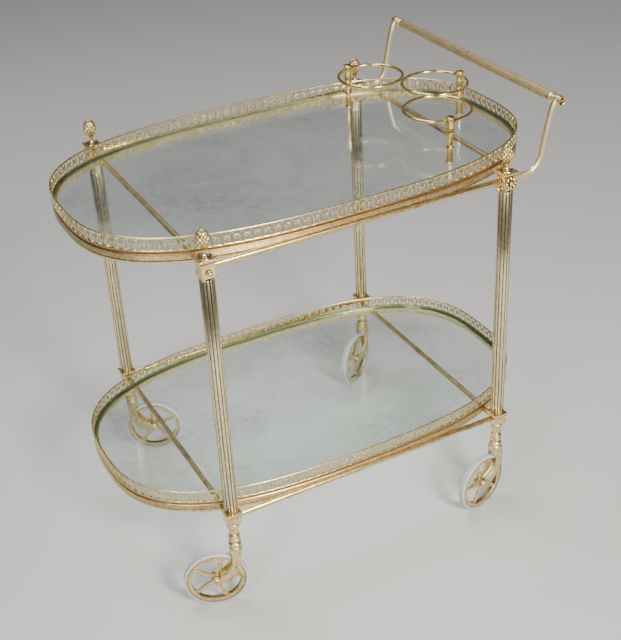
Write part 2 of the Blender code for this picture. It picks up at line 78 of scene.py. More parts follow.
def makeCamera():
    az = math.radians(studio["azimuth"])
    el = math.radians(studio["elevation"])
    roll = math.radians(studio["roll"])
    ahead = Vector((-math.sin(az) * math.cos(el), math.cos(az) * math.cos(el), -math.sin(el)))
    right = Vector((math.cos(az), math.sin(az), 0.0))
    up = right.cross(ahead)
    rolledRight = right * math.cos(roll) + up * math.sin(roll)
    rolledUp = up * math.cos(roll) - right * math.sin(roll)
    turn = Matrix((rolledRight, rolledUp, -ahead)).transposed().to_4x4()
    data = bpy.data.cameras.new("camera")
    data.sensor_width = studio["sensor"]
    data.lens = studio["lens"]
    camera = bpy.data.objects.new("camera", data)
    bpy.context.scene.collection.objects.link(camera)
    camera.matrix_world = Matrix.Translation(studio["cameraAt"]) @ turn
    bpy.context.scene.camera = camera


def makeLamps():
    for name, lamp in lamps.items():
        data = bpy.data.lights.new(name, "AREA")
        data.size = lamp["size"]
        data.energy = lamp["power"]
        data.color = lamp["colour"]
        light = bpy.data.objects.new(name, data)
        bpy.context.scene.collection.objects.link(light)
        light.location = lamp["at"]
        aim = Vector(studio["lampsAimAt"]) - Vector(lamp["at"])
        light.rotation_euler = aim.to_track_quat("-Z", "Y").to_euler()
    world = bpy.data.worlds.new("sky")
    world.use_nodes = True
    sky = world.node_tree.nodes["Background"]
    sky.inputs["Color"].default_value = (*studio["skyColour"], 1)
    sky.inputs["Strength"].default_value = studio["skyStrength"]
    bpy.context.scene.world = world


def makeFloor():
    half = studio["floorHalf"]
    mesh = bpy.data.meshes.new("floor")
    square = [(-half, -half, 0), (half, -half, 0), (half, half, 0), (-half, half, 0)]
    mesh.from_pydata(square, [], [(0, 1, 2, 3)])
    floor = bpy.data.objects.new("floor", mesh)
    bpy.context.scene.collection.objects.link(floor)
    paint = bpy.data.materials.new("floorPaint")
    paint.use_nodes = True
    shader = paint.node_tree.nodes["Principled BSDF"]
    shader.inputs["Base Color"].default_value = (*studio["floorColour"], 1)
    shader.inputs["Roughness"].default_value = studio["floorRoughness"]
    mesh.materials.append(paint)


makeCamera()
makeLamps()
makeFloor()
print("camera, lamps and floor are set")


# shared effects for the materials

def startGroup(name, inputs, outputs):
    group = bpy.data.node_groups.new(name, "ShaderNodeTree")
    for label, kind, value in inputs:
        group.interface.new_socket(name=label, in_out="INPUT", socket_type=kind).default_value = value
    for label, kind in outputs:
        group.interface.new_socket(name=label, in_out="OUTPUT", socket_type=kind)
    nodes = group.nodes
    return group, nodes.new("NodeGroupInput"), nodes.new("NodeGroupOutput")


def noiseNode(tree, coords, scale, detail=3.0, rough=0.55, distortion=0.0):
    node = tree.nodes.new("ShaderNodeTexNoise")
    node.inputs["Detail"].default_value = detail
    node.inputs["Roughness"].default_value = rough
    node.inputs["Distortion"].default_value = distortion
    if isinstance(scale, float):
        node.inputs["Scale"].default_value = scale
    else:
        tree.links.new(scale, node.inputs["Scale"])
    tree.links.new(coords, node.inputs["Vector"])
    return node.outputs["Fac"]


def mathNode(tree, operation, a, b=None, clamp=False):
    node = tree.nodes.new("ShaderNodeMath")
    node.operation = operation
    node.use_clamp = clamp
    for socket, value in zip(node.inputs, (a, b)):
        if value is None:
            continue
        if isinstance(value, (int, float)):
            socket.default_value = value
        else:
            tree.links.new(value, socket)
    return node.outputs[0]


def rangeNode(tree, value, low, high, toLow=0.0, toHigh=1.0):
    node = tree.nodes.new("ShaderNodeMapRange")
    node.interpolation_type = "SMOOTHSTEP"
    for label, number in (("From Min", low), ("From Max", high), ("To Min", toLow), ("To Max", toHigh)):
        node.inputs[label].default_value = number
    tree.links.new(value, node.inputs["Value"])
    return node.outputs["Result"]


def mixNode(tree, share, a, b):
    node = tree.nodes.new("ShaderNodeMix")
    node.data_type = "RGBA"
    for socket, value in zip((node.inputs[0], node.inputs[6], node.inputs[7]), (share, a, b)):
        if isinstance(value, float):
            socket.default_value = value
        elif isinstance(value, tuple):
            socket.default_value = (*value, 1)
        else:
            tree.links.new(value, socket)
    return node.outputs[2]


def stretchNode(tree, coords, scale):
    node = tree.nodes.new("ShaderNodeMapping")
    tree.links.new(coords, node.inputs["Vector"])
    if isinstance(scale, tuple):
        node.inputs["Scale"].default_value = scale
    else:
        tree.links.new(scale, node.inputs["Scale"])
    return node.outputs["Vector"]


def objectCoords(tree):
    return tree.nodes.new("ShaderNodeTexCoord").outputs["Object"]


def hollowMark(tree):
    node = tree.nodes.new("ShaderNodeAttribute")
    node.attribute_name = "hollow"
    return node.outputs["Fac"]


def patinaGroup():
    # browned hollows and blotches over polished metal; a few hollow marks also carry painted shade
    group, given, result = startGroup(
        "patina",
        [("Bright", "NodeSocketColor", (0.8, 0.7, 0.45, 1)),
        ("Mid", "NodeSocketColor", (0.7, 0.5, 0.25, 1)),
         ("Brown", "NodeSocketColor", (0.2, 0.1, 0.03, 1)), ("Amount", "NodeSocketFloat", 0.3),
         ("Hollow", "NodeSocketFloat", 0.0), ("Blotch Scale", "NodeSocketFloat", 45.0)],
        [("Color", "NodeSocketColor"), ("Mask", "NodeSocketFloat"), ("Roughness", "NodeSocketFloat")],
    )
    coords = objectCoords(group)
    blotches = noiseNode(group, coords, given.outputs["Blotch Scale"], 5.0, 0.62)
    specks = noiseNode(group, coords, 900.0, 2.0)
    tone = noiseNode(group, coords, 190.0, 4.0, 0.6)
    share = mathNode(group, "ADD", blotches, given.outputs["Amount"])
    speckled = mathNode(group, "ADD", share, mathNode(group, "MULTIPLY", specks, 0.28))
    spotted = rangeNode(group, speckled, 0.84, 1.10)
    sunken = mathNode(group, "ADD", given.outputs["Hollow"], mathNode(group, "MULTIPLY", tone, 0.35))
    deep = rangeNode(group, sunken, 0.38, 0.95)
    brownShare = mathNode(group, "MAXIMUM", mathNode(group, "MULTIPLY", spotted, 0.8), deep, clamp=True)
    lively = mixNode(group, rangeNode(group, tone, 0.36, 0.66), given.outputs["Bright"], given.outputs["Mid"])
    uneven = mathNode(group, "MULTIPLY", mathNode(group, "ADD", brownShare, specks), 0.5)
    group.links.new(mixNode(group, brownShare, lively, given.outputs["Brown"]), result.inputs["Color"])
    group.links.new(brownShare, result.inputs["Mask"])
    group.links.new(uneven, result.inputs["Roughness"])
    return group


def grainGroup():
    # fine drawn or brushed lines, long where the stretch is small
    group, given, result = startGroup(
        "grain", [("Stretch", "NodeSocketVector", (900.0, 900.0, 900.0))],
        [("Height", "NodeSocketFloat"), ("Lines", "NodeSocketFloat")],
    )
    coords = objectCoords(group)
    lines = noiseNode(group, stretchNode(group, coords, given.outputs["Stretch"]), 1.0, 2.0)
    dents = noiseNode(group, coords, 240.0, 3.0)
    group.links.new(mathNode(group, "ADD", lines, dents), result.inputs["Height"])
    group.links.new(rangeNode(group, lines, 0.42, 0.72), result.inputs["Lines"])
    return group


def dustGroup():
    # pale dust that settles where a surface faces up
    group, given, result = startGroup(
        "dust", [("Amount", "NodeSocketFloat", 0.2)], [("Mask", "NodeSocketFloat")],
    )
    normal = group.nodes.new("ShaderNodeNewGeometry").outputs["Normal"]
    split = group.nodes.new("ShaderNodeSeparateXYZ")
    group.links.new(normal, split.inputs[0])
    up = rangeNode(group, split.outputs["Z"], 0.35, 0.95)
    grains = rangeNode(group, noiseNode(group, objectCoords(group), 520.0, 4.0, 0.7), 0.40, 0.72)
    settled = mathNode(group, "MULTIPLY", up, grains)
    group.links.new(mathNode(group, "MULTIPLY", settled, given.outputs["Amount"]), result.inputs["Mask"])
    return group


def scratchGroup():
    # fine scratches in three directions, smears, and grains of grit
    group, given, result = startGroup(
        "scratches", [("Amount", "NodeSocketFloat", 1.0)],
        [("Scratches", "NodeSocketFloat"), ("Smears", "NodeSocketFloat"), ("Grit", "NodeSocketFloat")],
    )
    coords = objectCoords(group)
    total = None
    for angle, length, fine in ((8.0, 34.0, 900.0), (68.0, 42.0, 1100.0), (127.0, 30.0, 800.0)):
        turned = group.nodes.new("ShaderNodeMapping")
        turned.inputs["Rotation"].default_value = (0, 0, math.radians(angle))
        group.links.new(coords, turned.inputs["Vector"])
        streaks = stretchNode(group, turned.outputs["Vector"], (length, fine, 1.0))
        lines = noiseNode(group, streaks, 1.0, 2.0, 0.5, 0.15)
        sharp = rangeNode(group, lines, 0.66, 0.72)
        total = sharp if total is None else mathNode(group, "MAXIMUM", total, sharp)
    group.links.new(mathNode(group, "MULTIPLY", total, given.outputs["Amount"]), result.inputs["Scratches"])
    broad = rangeNode(group, noiseNode(group, coords, 7.0, 4.0, 0.62, 0.6), 0.36, 0.70)
    mottle = rangeNode(group, noiseNode(group, coords, 95.0, 6.0, 0.75), 0.36, 0.66)
    cloudy = mathNode(group, "ADD", mathNode(group, "MULTIPLY", mottle, 0.75), 0.15)
    smears = mathNode(group, "MULTIPLY", broad, cloudy)
    group.links.new(mathNode(group, "MULTIPLY", smears, given.outputs["Amount"]), result.inputs["Smears"])
    cells = group.nodes.new("ShaderNodeTexVoronoi")
    cells.inputs["Scale"].default_value = 85.0
    group.links.new(coords, cells.inputs["Vector"])
    grit = rangeNode(group, cells.outputs["Distance"], 0.055, 0.030)
    patches = rangeNode(group, noiseNode(group, coords, 16.0, 3.0), 0.50, 0.62)
    group.links.new(mathNode(group, "MULTIPLY", grit, patches), result.inputs["Grit"])
    return group


effects = {"patina": patinaGroup(), "grain": grainGroup(), "dust": dustGroup(), "scratches": scratchGroup()}


def placeGroup(tree, name, values):
    node = tree.nodes.new("ShaderNodeGroup")
    node.node_tree = effects[name]
    for label, value in values.items():
        isColour = isinstance(value, tuple) and label != "Stretch"
        node.inputs[label].default_value = (*value, 1) if isColour else value
    return node


def bumpInto(tree, shader, height, strength, distance):
    bump = tree.nodes.new("ShaderNodeBump")
    bump.inputs["Strength"].default_value = strength
    bump.inputs["Distance"].default_value = distance
    tree.links.new(height, bump.inputs["Height"])
    tree.links.new(bump.outputs["Normal"], shader.inputs["Normal"])


def brassMaterial(name, look):
    made = bpy.data.materials.new(name)
    made.use_nodes = True
    tree = made.node_tree
    shader = tree.nodes["Principled BSDF"]
    shader.inputs["Metallic"].default_value = 1.0
    patina = placeGroup(tree, "patina", {
        "Bright": look["bright"], "Mid": look["mid"], "Brown": look["brown"], "Amount": look["amount"],
        "Blotch Scale": look["blotchScale"],
    })
    tree.links.new(hollowMark(tree), patina.inputs["Hollow"])
    grain = placeGroup(tree, "grain", {"Stretch": look["stretch"]})
    dust = placeGroup(tree, "dust", {"Amount": look["dust"]})
    lineShare = mathNode(tree, "MULTIPLY", grain.outputs["Lines"], 0.25)
    lined = mixNode(tree, lineShare, patina.outputs["Color"], look["mid"])
    colour = mixNode(tree, dust.outputs["Mask"], lined, (0.72, 0.68, 0.60))
    tree.links.new(colour, shader.inputs["Base Color"])
    spread = mathNode(tree, "MULTIPLY", patina.outputs["Roughness"], look["roughSpread"])
    rough = mathNode(tree, "ADD", spread, look["rough"])
    dusty = mathNode(tree, "ADD", rough, mathNode(tree, "MULTIPLY", dust.outputs["Mask"], 0.4), True)
    tree.links.new(dusty, shader.inputs["Roughness"])
    bumpInto(tree, shader, grain.outputs["Height"], look["bump"], 0.0002)
    return made


brassLooks = {
    "flutedBrass": {
        "bright": (0.97, 0.87, 0.6), "mid": (0.8, 0.64, 0.34), "brown": (0.07, 0.05, 0.02),
        "amount": 0.12, "blotchScale": 40.0, "stretch": (700.0, 700.0, 14.0), "dust": 0.1, "rough": 0.14,
        "roughSpread": 0.26, "bump": 0.18,
    },
    "castBrass": {
        "bright": (0.98, 0.83, 0.47), "mid": (0.82, 0.58, 0.22), "brown": (0.17, 0.08, 0.02),
        "amount": 0.18, "blotchScale": 90.0, "stretch": (420.0, 420.0, 420.0), "dust": 0.15,
        "rough": 0.18, "roughSpread": 0.30, "bump": 0.28,
    },
    "longTubeBrass": {
        "bright": (0.95, 0.73, 0.33), "mid": (0.7, 0.44, 0.14), "brown": (0.16, 0.075, 0.02),
        "amount": 0.22, "blotchScale": 38.0, "stretch": (16.0, 800.0, 800.0), "dust": 0.2, "rough": 0.18,
        "roughSpread": 0.32, "bump": 0.22,
    },
    "crossTubeBrass": {
        "bright": (0.82, 0.61, 0.29), "mid": (0.58, 0.36, 0.13), "brown": (0.16, 0.08, 0.025),
        "amount": 0.28, "blotchScale": 38.0, "stretch": (800.0, 16.0, 800.0), "dust": 0.35, "rough": 0.20,
        "roughSpread": 0.34, "bump": 0.22,
    },
    "piercedBrass": {
        "bright": (1.0, 0.86, 0.48), "mid": (0.88, 0.64, 0.25), "brown": (0.15, 0.07, 0.015),
        "amount": 0.12, "blotchScale": 70.0, "stretch": (500.0, 500.0, 500.0), "dust": 0.15,
        "rough": 0.18, "roughSpread": 0.28, "bump": 0.18,
    },
    "ribbedBrass": {
        "bright": (0.98, 0.84, 0.5), "mid": (0.82, 0.58, 0.24), "brown": (0.28, 0.13, 0.03),
        "amount": 0.16, "blotchScale": 42.0, "stretch": (60.0, 60.0, 900.0), "dust": 0.15, "rough": 0.20,
        "roughSpread": 0.30, "bump": 0.18,
    },
    "rackBrass": {
        "bright": (1.0, 0.81, 0.38), "mid": (0.86, 0.57, 0.17), "brown": (0.22, 0.1, 0.02),
        "amount": 0.12, "blotchScale": 110.0, "stretch": (500.0, 500.0, 500.0), "dust": 0.1,
        "rough": 0.13, "roughSpread": 0.24, "bump": 0.16,
    },
    "gripBrass": {
        "bright": (1.0, 0.86, 0.54), "mid": (0.90, 0.68, 0.34), "brown": (0.22, 0.11, 0.03),
        "amount": 0.16, "blotchScale": 60.0, "stretch": (800.0, 18.0, 800.0), "dust": 0.15, "rough": 0.30,
        "roughSpread": 0.30, "bump": 0.25,
    },
    "casterBrass": {
        "bright": (0.96, 0.8, 0.46), "mid": (0.8, 0.57, 0.24), "brown": (0.18, 0.09, 0.025),
        "amount": 0.20, "blotchScale": 120.0, "stretch": (420.0, 420.0, 420.0), "dust": 0.3,
        "rough": 0.22, "roughSpread": 0.34, "bump": 0.28,
    },
}
finishes = {name: brassMaterial(name, look) for name, look in brassLooks.items()}


# two of these set a painted glow: the colour and the strength of the emission where the glass is marked
glassLook = {
    "clean": (0.80, 0.845, 0.83), "smeared": (0.50, 0.52, 0.51), "grit": (0.40, 0.38, 0.35),
    "edge": (0.04, 0.36, 0.30), "hazeAndPaintedGlow": (0.75, 0.76, 0.74), "paintedGlowStrength": 0.10,
    "shadow": (0.80, 0.86, 0.84), "ior": 1.52, "smoothest": 0.008, "roughest": 0.28,
}


def glassMaterial():
    made = bpy.data.materials.new("paneGlass")
    made.use_nodes = True
    tree = made.node_tree
    shader = tree.nodes["Principled BSDF"]
    shader.inputs["Transmission Weight"].default_value = 1.0
    shader.inputs["IOR"].default_value = glassLook["ior"]
    # the glass glows a little, a painted glow that stands in for light scattered by its marks
    shader.inputs["Emission Strength"].default_value = glassLook["paintedGlowStrength"]
    wear = placeGroup(tree, "scratches", {"Amount": 1.0})
    edge = hollowMark(tree)
    smeared = mixNode(tree, wear.outputs["Smears"], glassLook["clean"], glassLook["smeared"])
    gritShare = mathNode(tree, "MULTIPLY", wear.outputs["Grit"], 0.7)
    gritty = mixNode(tree, gritShare, smeared, glassLook["grit"])
    tree.links.new(mixNode(tree, edge, gritty, glassLook["edge"]), shader.inputs["Base Color"])
    marks = mathNode(tree, "MULTIPLY", wear.outputs["Scratches"], 0.7)
    hazeAndPaintedGlow = mathNode(tree, "MAXIMUM", marks, mathNode(tree, "MULTIPLY", wear.outputs["Smears"], 0.30), True)
    # painted glow where the glass is scratched, smeared and gritty
    paintedGlowShare = mathNode(tree, "MAXIMUM", hazeAndPaintedGlow, wear.outputs["Grit"])
    tree.links.new(mixNode(tree, paintedGlowShare, (0.0, 0.0, 0.0), glassLook["hazeAndPaintedGlow"]), shader.inputs["Emission Color"])
    rough = rangeNode(tree, hazeAndPaintedGlow, 0.0, 1.0, glassLook["smoothest"], glassLook["roughest"])
    tree.links.new(rough, shader.inputs["Roughness"])
    bumpInto(tree, shader, hazeAndPaintedGlow, 0.04, 0.0002)
    clear = tree.nodes.new("ShaderNodeBsdfTransparent")
    clear.inputs["Color"].default_value = (*glassLook["shadow"], 1)
    path = tree.nodes.new("ShaderNodeLightPath")
    mix = tree.nodes.new("ShaderNodeMixShader")
    tree.links.new(path.outputs["Is Shadow Ray"], mix.inputs[0])
    tree.links.new(shader.outputs[0], mix.inputs[1])
    tree.links.new(clear.outputs[0], mix.inputs[2])
    tree.links.new(mix.outputs[0], tree.nodes["Material Output"].inputs["Surface"])
    return made


tyreLook = {
    "rubber": (0.66, 0.69, 0.72), "grime": (0.30, 0.28, 0.26), "scuff": (0.46, 0.46, 0.46),
    "dust": (0.66, 0.65, 0.62), "smoothest": 0.48, "roughest": 0.75,
}


def tyreMaterial():
    made = bpy.data.materials.new("greyTyre")
    made.use_nodes = True
    tree = made.node_tree
    shader = tree.nodes["Principled BSDF"]
    coords = objectCoords(tree)
    scuffs = rangeNode(tree, noiseNode(tree, coords, 130.0, 5.0, 0.7), 0.40, 0.68)
    dust = placeGroup(tree, "dust", {"Amount": 0.5})
    grimeShare = mathNode(tree, "MULTIPLY", hollowMark(tree), 0.8)
    grime = mixNode(tree, grimeShare, tyreLook["rubber"], tyreLook["grime"])
    scuffed = mixNode(tree, mathNode(tree, "MULTIPLY", scuffs, 0.55), grime, tyreLook["scuff"])
    colour = mixNode(tree, dust.outputs["Mask"], scuffed, tyreLook["dust"])
    tree.links.new(colour, shader.inputs["Base Color"])
    rough = rangeNode(tree, scuffs, 0.0, 1.0, tyreLook["smoothest"], tyreLook["roughest"])
    tree.links.new(rough, shader.inputs["Roughness"])
    bumpInto(tree, shader, noiseNode(tree, coords, 700.0, 4.0, 0.6), 0.3, 0.0003)
    return made


finishes["paneGlass"] = glassMaterial()
finishes["greyTyre"] = tyreMaterial()
print("materials are ready")


# mesh tools. A shape is a dictionary of points, faces and how hollow each point is, from 0 to 1

def shapeOf(points, faces, hollow=None):
    marks = list(hollow or [0.0] * len(points))
    return {"points": [Vector(p) for p in points], "faces": list(faces), "hollow": marks}


def joined(*shapes):
    whole = shapeOf([], [])
    for shape in shapes:
        start = len(whole["points"])
        whole["points"] += shape["points"]
        whole["faces"] += [tuple(i + start for i in face) for face in shape["faces"]]
        whole["hollow"] += shape["hollow"]
    return whole


def moved(shape, matrix):
    return {**shape, "points": [matrix @ p for p in shape["points"]]}


def placed(shape, at, turn=(0, 0, 0)):
    spin = Matrix.Rotation(math.radians(turn[2]), 4, "Z") @ Matrix.Rotation(math.radians(turn[1]), 4, "Y")
    return moved(shape, Matrix.Translation(at) @ spin @ Matrix.Rotation(math.radians(turn[0]), 4, "X"))


def lofted(rows, hollow=None, ring=True, loop=False, caps=True):
    # rows of points, joined row to row; ring closes each row, loop joins the last row to the first.
    # hollow has one value for each row, or one list of values for each row
    size = len(rows[0])
    points = [p for row in rows for p in row]
    faces = []
    count = len(rows)
    for i in range(count if loop else count - 1):
        j = (i + 1) % count
        for a in range(size if ring else size - 1):
            b = (a + 1) % size
            faces.append((i * size + a, i * size + b, j * size + b, j * size + a))
    if hollow and isinstance(hollow[0], list):
        marks = [mark for row in hollow for mark in row]
    else:
        marks = [mark for mark, row in zip(hollow or [0.0] * count, rows) for p in row]
    if caps and not loop:
        for edge, row in ((0, rows[0]), (count - 1, rows[-1])):
            middle = sum((Vector(p) for p in row), Vector()) / size
            points.append(middle)
            marks.append(marks[edge * size])
            last = len(points) - 1
            faces += [(edge * size + a, edge * size + (a + 1) % size, last) for a in range(size)]
    return shapeOf(points, faces, marks)


def rounded(line, radius, steps=3):
    # a line of (x, y) points with each inner corner rounded; a point's own radius may be its third value
    result = [tuple(line[0][:2])]
    for before, here, after in zip(line, line[1:], line[2:]):
        own = here[2] if len(here) > 2 else radius
        a, b, c = (Vector(p[:2]) for p in (before, here, after))
        reach = min(own, (a - b).length * 0.48, (c - b).length * 0.48)
        if reach < 1e-6:
            result.append(tuple(b))
            continue
        start = b + (a - b).normalized() * reach
        end = b + (c - b).normalized() * reach
        for step in range(steps + 1):
            t = step / steps
            result.append(tuple(start * (1 - t) ** 2 + b * 2 * t * (1 - t) + end * t**2))
    return result + [tuple(line[-1][:2])]


def turnedShape(profile, sides=32, hollow=None, loop=False):
    rows = []
    for radius, height in profile:
        rows.append([(x, y, height) for x, y in circle(max(radius, axis), sides)])
    return lofted(rows, hollow or sinking(profile), loop=loop)


def sinking(profile):
    # how far each point of a profile lies behind the line through its neighbours a few points away
    marks = []
    for i, (radius, height) in enumerate(profile):
        near = [profile[j][0] for j in range(max(0, i - 4), min(len(profile), i + 5))]
        marks.append(min(1.0, max(0.0, (sum(near) / len(near) - radius) / 0.0012)))
    return marks


def aheadOf(path, i):
    return (path[min(i + 1, len(path) - 1)] - path[max(i - 1, 0)]).normalized()


def swept(path, section, flatUp=(0, 0, 1), scaleAt=None):
    # a section of (side, up) points carried along a path
    rows = []
    for i, point in enumerate(path):
        ahead = aheadOf(path, i)
        side = ahead.cross(Vector(flatUp)).normalized()
        lift = side.cross(ahead).normalized()
        size = scaleAt(i / (len(path) - 1)) if scaleAt else 1.0
        rows.append([point + side * u * size + lift * v * size for u, v in section])
    return lofted(rows)


def circle(radius, sides):
    turns = [2 * math.pi * i / sides for i in range(sides)]
    return [(radius * math.cos(turn), radius * math.sin(turn)) for turn in turns]


def smoothed(route, perSpan):
    ends = [2 * route[0] - route[1], 2 * route[-1] - route[-2]]
    knots = [ends[0]] + list(route) + [ends[1]]
    points = []
    for a, b, c, d in zip(knots, knots[1:], knots[2:], knots[3:]):
        for step in range(perSpan):
            t = step / perSpan
            bent = (2 * a - 5 * b + 4 * c - d) * t**2 + (3 * b - a - 3 * c + d) * t**3
            points.append((2 * b + (c - a) * t + bent) / 2)
    return points + [knots[-2]]


def roundedSquare(half, corner, perCorner=5, perSide=4):
    # points round a square, with how near each is to a corner, from 0 at mid side to 1
    loop = []
    for quarter in range(4):
        turn = math.pi / 2 * quarter
        centre = Vector((half - corner, half - corner))
        bend = np.linspace(0, math.pi / 2, perCorner)
        arc = [centre + Vector((math.cos(a), math.sin(a))) * corner for a in bend]
        nextStart = Vector((-(half - corner), half))
        side = [arc[-1].lerp(nextStart, s / perSide) for s in range(1, perSide)]
        spin = Matrix.Rotation(turn, 2)
        loop += [spin @ p for p in arc + side]
    return [(p, min(abs(p.x), abs(p.y)) / half) for p in loop]


def makePiece(name, shape, finish, body, node, sharp=40):
    mesh = bpy.data.meshes.new(name)
    mesh.from_pydata(shape["points"], [], shape["faces"])
    mark = mesh.attributes.new("hollow", "FLOAT", "POINT")
    mark.data.foreach_set("value", shape["hollow"])
    work = bmesh.new()
    work.from_mesh(mesh)
    bmesh.ops.recalc_face_normals(work, faces=work.faces)
    work.to_mesh(mesh)
    work.free()
    mesh.shade_smooth()
    mesh.set_sharp_from_angle(angle=math.radians(sharp))
    piece = bpy.data.objects.new(name, mesh)
    bpy.context.scene.collection.objects.link(piece)
    mesh.materials.append(finishes[finish])
    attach(piece, body)
    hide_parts(node)


# fluted posts

post = {"flutes": 12, "fluteDepth": 0.0013, "perFlute": 10, "chamfer": 0.0006}


def makePosts():
    for corner in corners:
        low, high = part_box(f"post_{corner}")
        centre = boxMiddle(f"post_{corner}")
        outer = (high.x - low.x) / 2
        count = post["flutes"] * post["perFlute"]
        unit = []
        marks = []
        for i in range(count):
            turn = 2 * math.pi * i / count
            across = abs(2 * ((i / post["perFlute"]) % 1.0) - 1)
            radius = outer - post["fluteDepth"] * (1 - math.sqrt(max(0.0, 1 - across**2)))
            unit.append((radius * math.cos(turn), radius * math.sin(turn)))
            marks.append(across**2.6)
        chamfer = post["chamfer"]
        end = 1 - chamfer / outer
        heights = [(low.z, end), (low.z + chamfer, 1.0), (high.z - chamfer, 1.0), (high.z, end)]
        rows = [[(centre.x + x * size, centre.y + y * size, z) for x, y in unit] for z, size in heights]
        tube = lofted(rows, [marks] * len(rows))
        makePiece(f"flutedPost_{corner}", tube, "flutedBrass", "frame", f"post_{corner}", sharp=62)


makePosts()
print("posts are made")


# corner blocks, dishes, buttons and rosettes

block = {
    "half": 0.0112, "lipHalf": 0.0127, "corner": 0.0016, "height": 0.0310, "apron": 0.0026,
    "kick": 0.0013, "lowerHeight": 0.0215, "dishRadius": 0.0110, "dishHeight": 0.0012,
    "buttonRadius": 0.0042, "buttonNeck": 0.0004, "buttonHeight": 0.0118, "knobHeight": 0.0040,
    "rosetteDrop": 0.0155, "petals": 8,
}


def squareColumn(profile):
    # profile rows are (half width, height, corner radius, lift at mid side, kick at the corners)
    rows = []
    for half, height, corner, lift, kick in profile:
        row = []
        for p, near in roundedSquare(half, corner):
            spread = 1 + kick * near**5 / half
            row.append((p.x * spread, p.y * spread, height + lift * (1 - near**2)))
        rows.append(row)
    return rows


def upperBlockShape():
    top = block["height"]
    half, lip, corner, apron, kick = (block[key] for key in ("half", "lipHalf", "corner", "apron", "kick"))
    profile = [
        (half - 0.0024, 0.0004, corner, apron, kick), (half - 0.0008, 0.0003, corner, apron, kick),
        (half - 0.0002, 0.0012, corner, apron * 0.9, kick),
        (half - 0.0003, 0.0034, corner, apron * 0.5, kick * 0.6),
        (half - 0.0006, 0.0070, corner, 0.0, kick * 0.2), (half - 0.0007, 0.0150, corner, 0.0, 0.0),
        (half - 0.0006, top - 0.0090, corner, 0.0, 0.0), (half - 0.0002, top - 0.0062, corner, 0.0, 0.0),
        (half + 0.0006, top - 0.0044, corner, -0.0006, 0.0002),
        (lip - 0.0002, top - 0.0034, 0.0012, -0.0004, 0.0004), (lip, top - 0.0028, 0.0010, 0.0, 0.0004),
        (lip, top - 0.0008, 0.0010, 0.0, 0.0004), (lip - 0.0003, top - 0.0002, 0.0010, 0.0, 0.0003),
        (lip - 0.0009, top, 0.0010, 0.0, 0.0),
    ]
    # under the lip the marks are partly patina, partly painted shade cast by the lip
    hollow = [0.5, 0.2, 0.0, 0.0, 0.0, 0.0, 0.1, 0.55, 0.8, 0.3, 0.0, 0.0, 0.0, 0.1]
    body = lofted(squareColumn(profile), hollow)
    r, rise = block["dishRadius"], block["dishHeight"]
    # a low ring round a saucer that is marked darker inside; the finial stands on the saucer's middle
    dish = [
        (r - 0.0008, -0.0006), (r - 0.0006, 0.0002), (r - 0.0001, 0.0004), (r, rise - 0.0006),
        (r - 0.0003, rise), (r - 0.0013, rise + 0.0001), (r - 0.0019, rise - 0.0002),
        (r - 0.0024, rise - 0.0009), (0.0070, rise - 0.0010), (0.0064, rise - 0.0008),
        (axis, rise - 0.0008),
    ]
    marks = [0.9, 0.8, 0.2, 0.0, 0.0, 0.0, 0.3, 0.9, 1.0, 0.9, 0.8]
    return joined(body, placed(turnedShape(dish, 40, marks), (0, 0, top)))


def ballShape(radius, neck):
    # a ball button on a low collar, standing on its own Z axis
    profile = [(radius * 0.98, -0.0004), (radius * 0.94, neck), (radius * 0.74, neck + 0.0002)]
    for step in range(1, 10):
        turn = math.pi * (0.74 - 0.74 * step / 9)
        profile.append((radius * 0.92 * math.sin(turn), neck + radius * (0.50 + 0.92 * math.cos(turn))))
    return turnedShape(profile, 24, [0.8, 0.9, 1.0, 0.6] + [0.0] * (len(profile) - 4))


def lowerBlockShape(depth):
    half, lip, corner, height = (block[key] for key in ("half", "lipHalf", "corner", "lowerHeight"))
    kick = block["kick"]
    profile = [
        (lip - 0.0010, 0.0, 0.0010, 0.0, 0.0), (lip - 0.0002, -0.0004, 0.0008, 0.0, 0.0003),
        (lip, -0.0012, 0.0008, 0.0, 0.0004), (lip - 0.0003, -0.0026, 0.0012, 0.0, 0.0003),
        (half + 0.0003, -0.0056, corner, 0.0, 0.0), (half - 0.0004, -0.0100, corner, 0.0, 0.0),
        (half - 0.0008, -height + 0.0066, corner, 0.0, kick * 0.2),
        (half - 0.0010, -height + 0.0032, corner, 0.0006, kick * 0.7),
        (half - 0.0010, -height + 0.0006, corner, 0.0022, kick),
        (half - 0.0018, -height, corner, 0.0026, kick * 0.8),
        (half - 0.0034, -height, corner, 0.0026, 0.0),
    ]
    body = lofted(squareColumn(profile), [0.2, 0, 0, 0.3, 0.5, 0.2, 0.0, 0.0, 0.1, 0.5, 0.8])
    cup = rounded([
        (0.0090, -height + 0.0034), (0.0092, -height - 0.0004), (0.0103, -height - 0.0014),
        (0.0105, -height - 0.0040, 0.002), (0.0096, -height - 0.0086, 0.003),
        (0.0080, -height - 0.0130, 0.002), (0.0072, -height - 0.0158), (0.0073, depth + 0.0006),
        (0.0066, depth), (axis, depth),
    ], 0.0008)
    return joined(body, turnedShape(cup, 36))


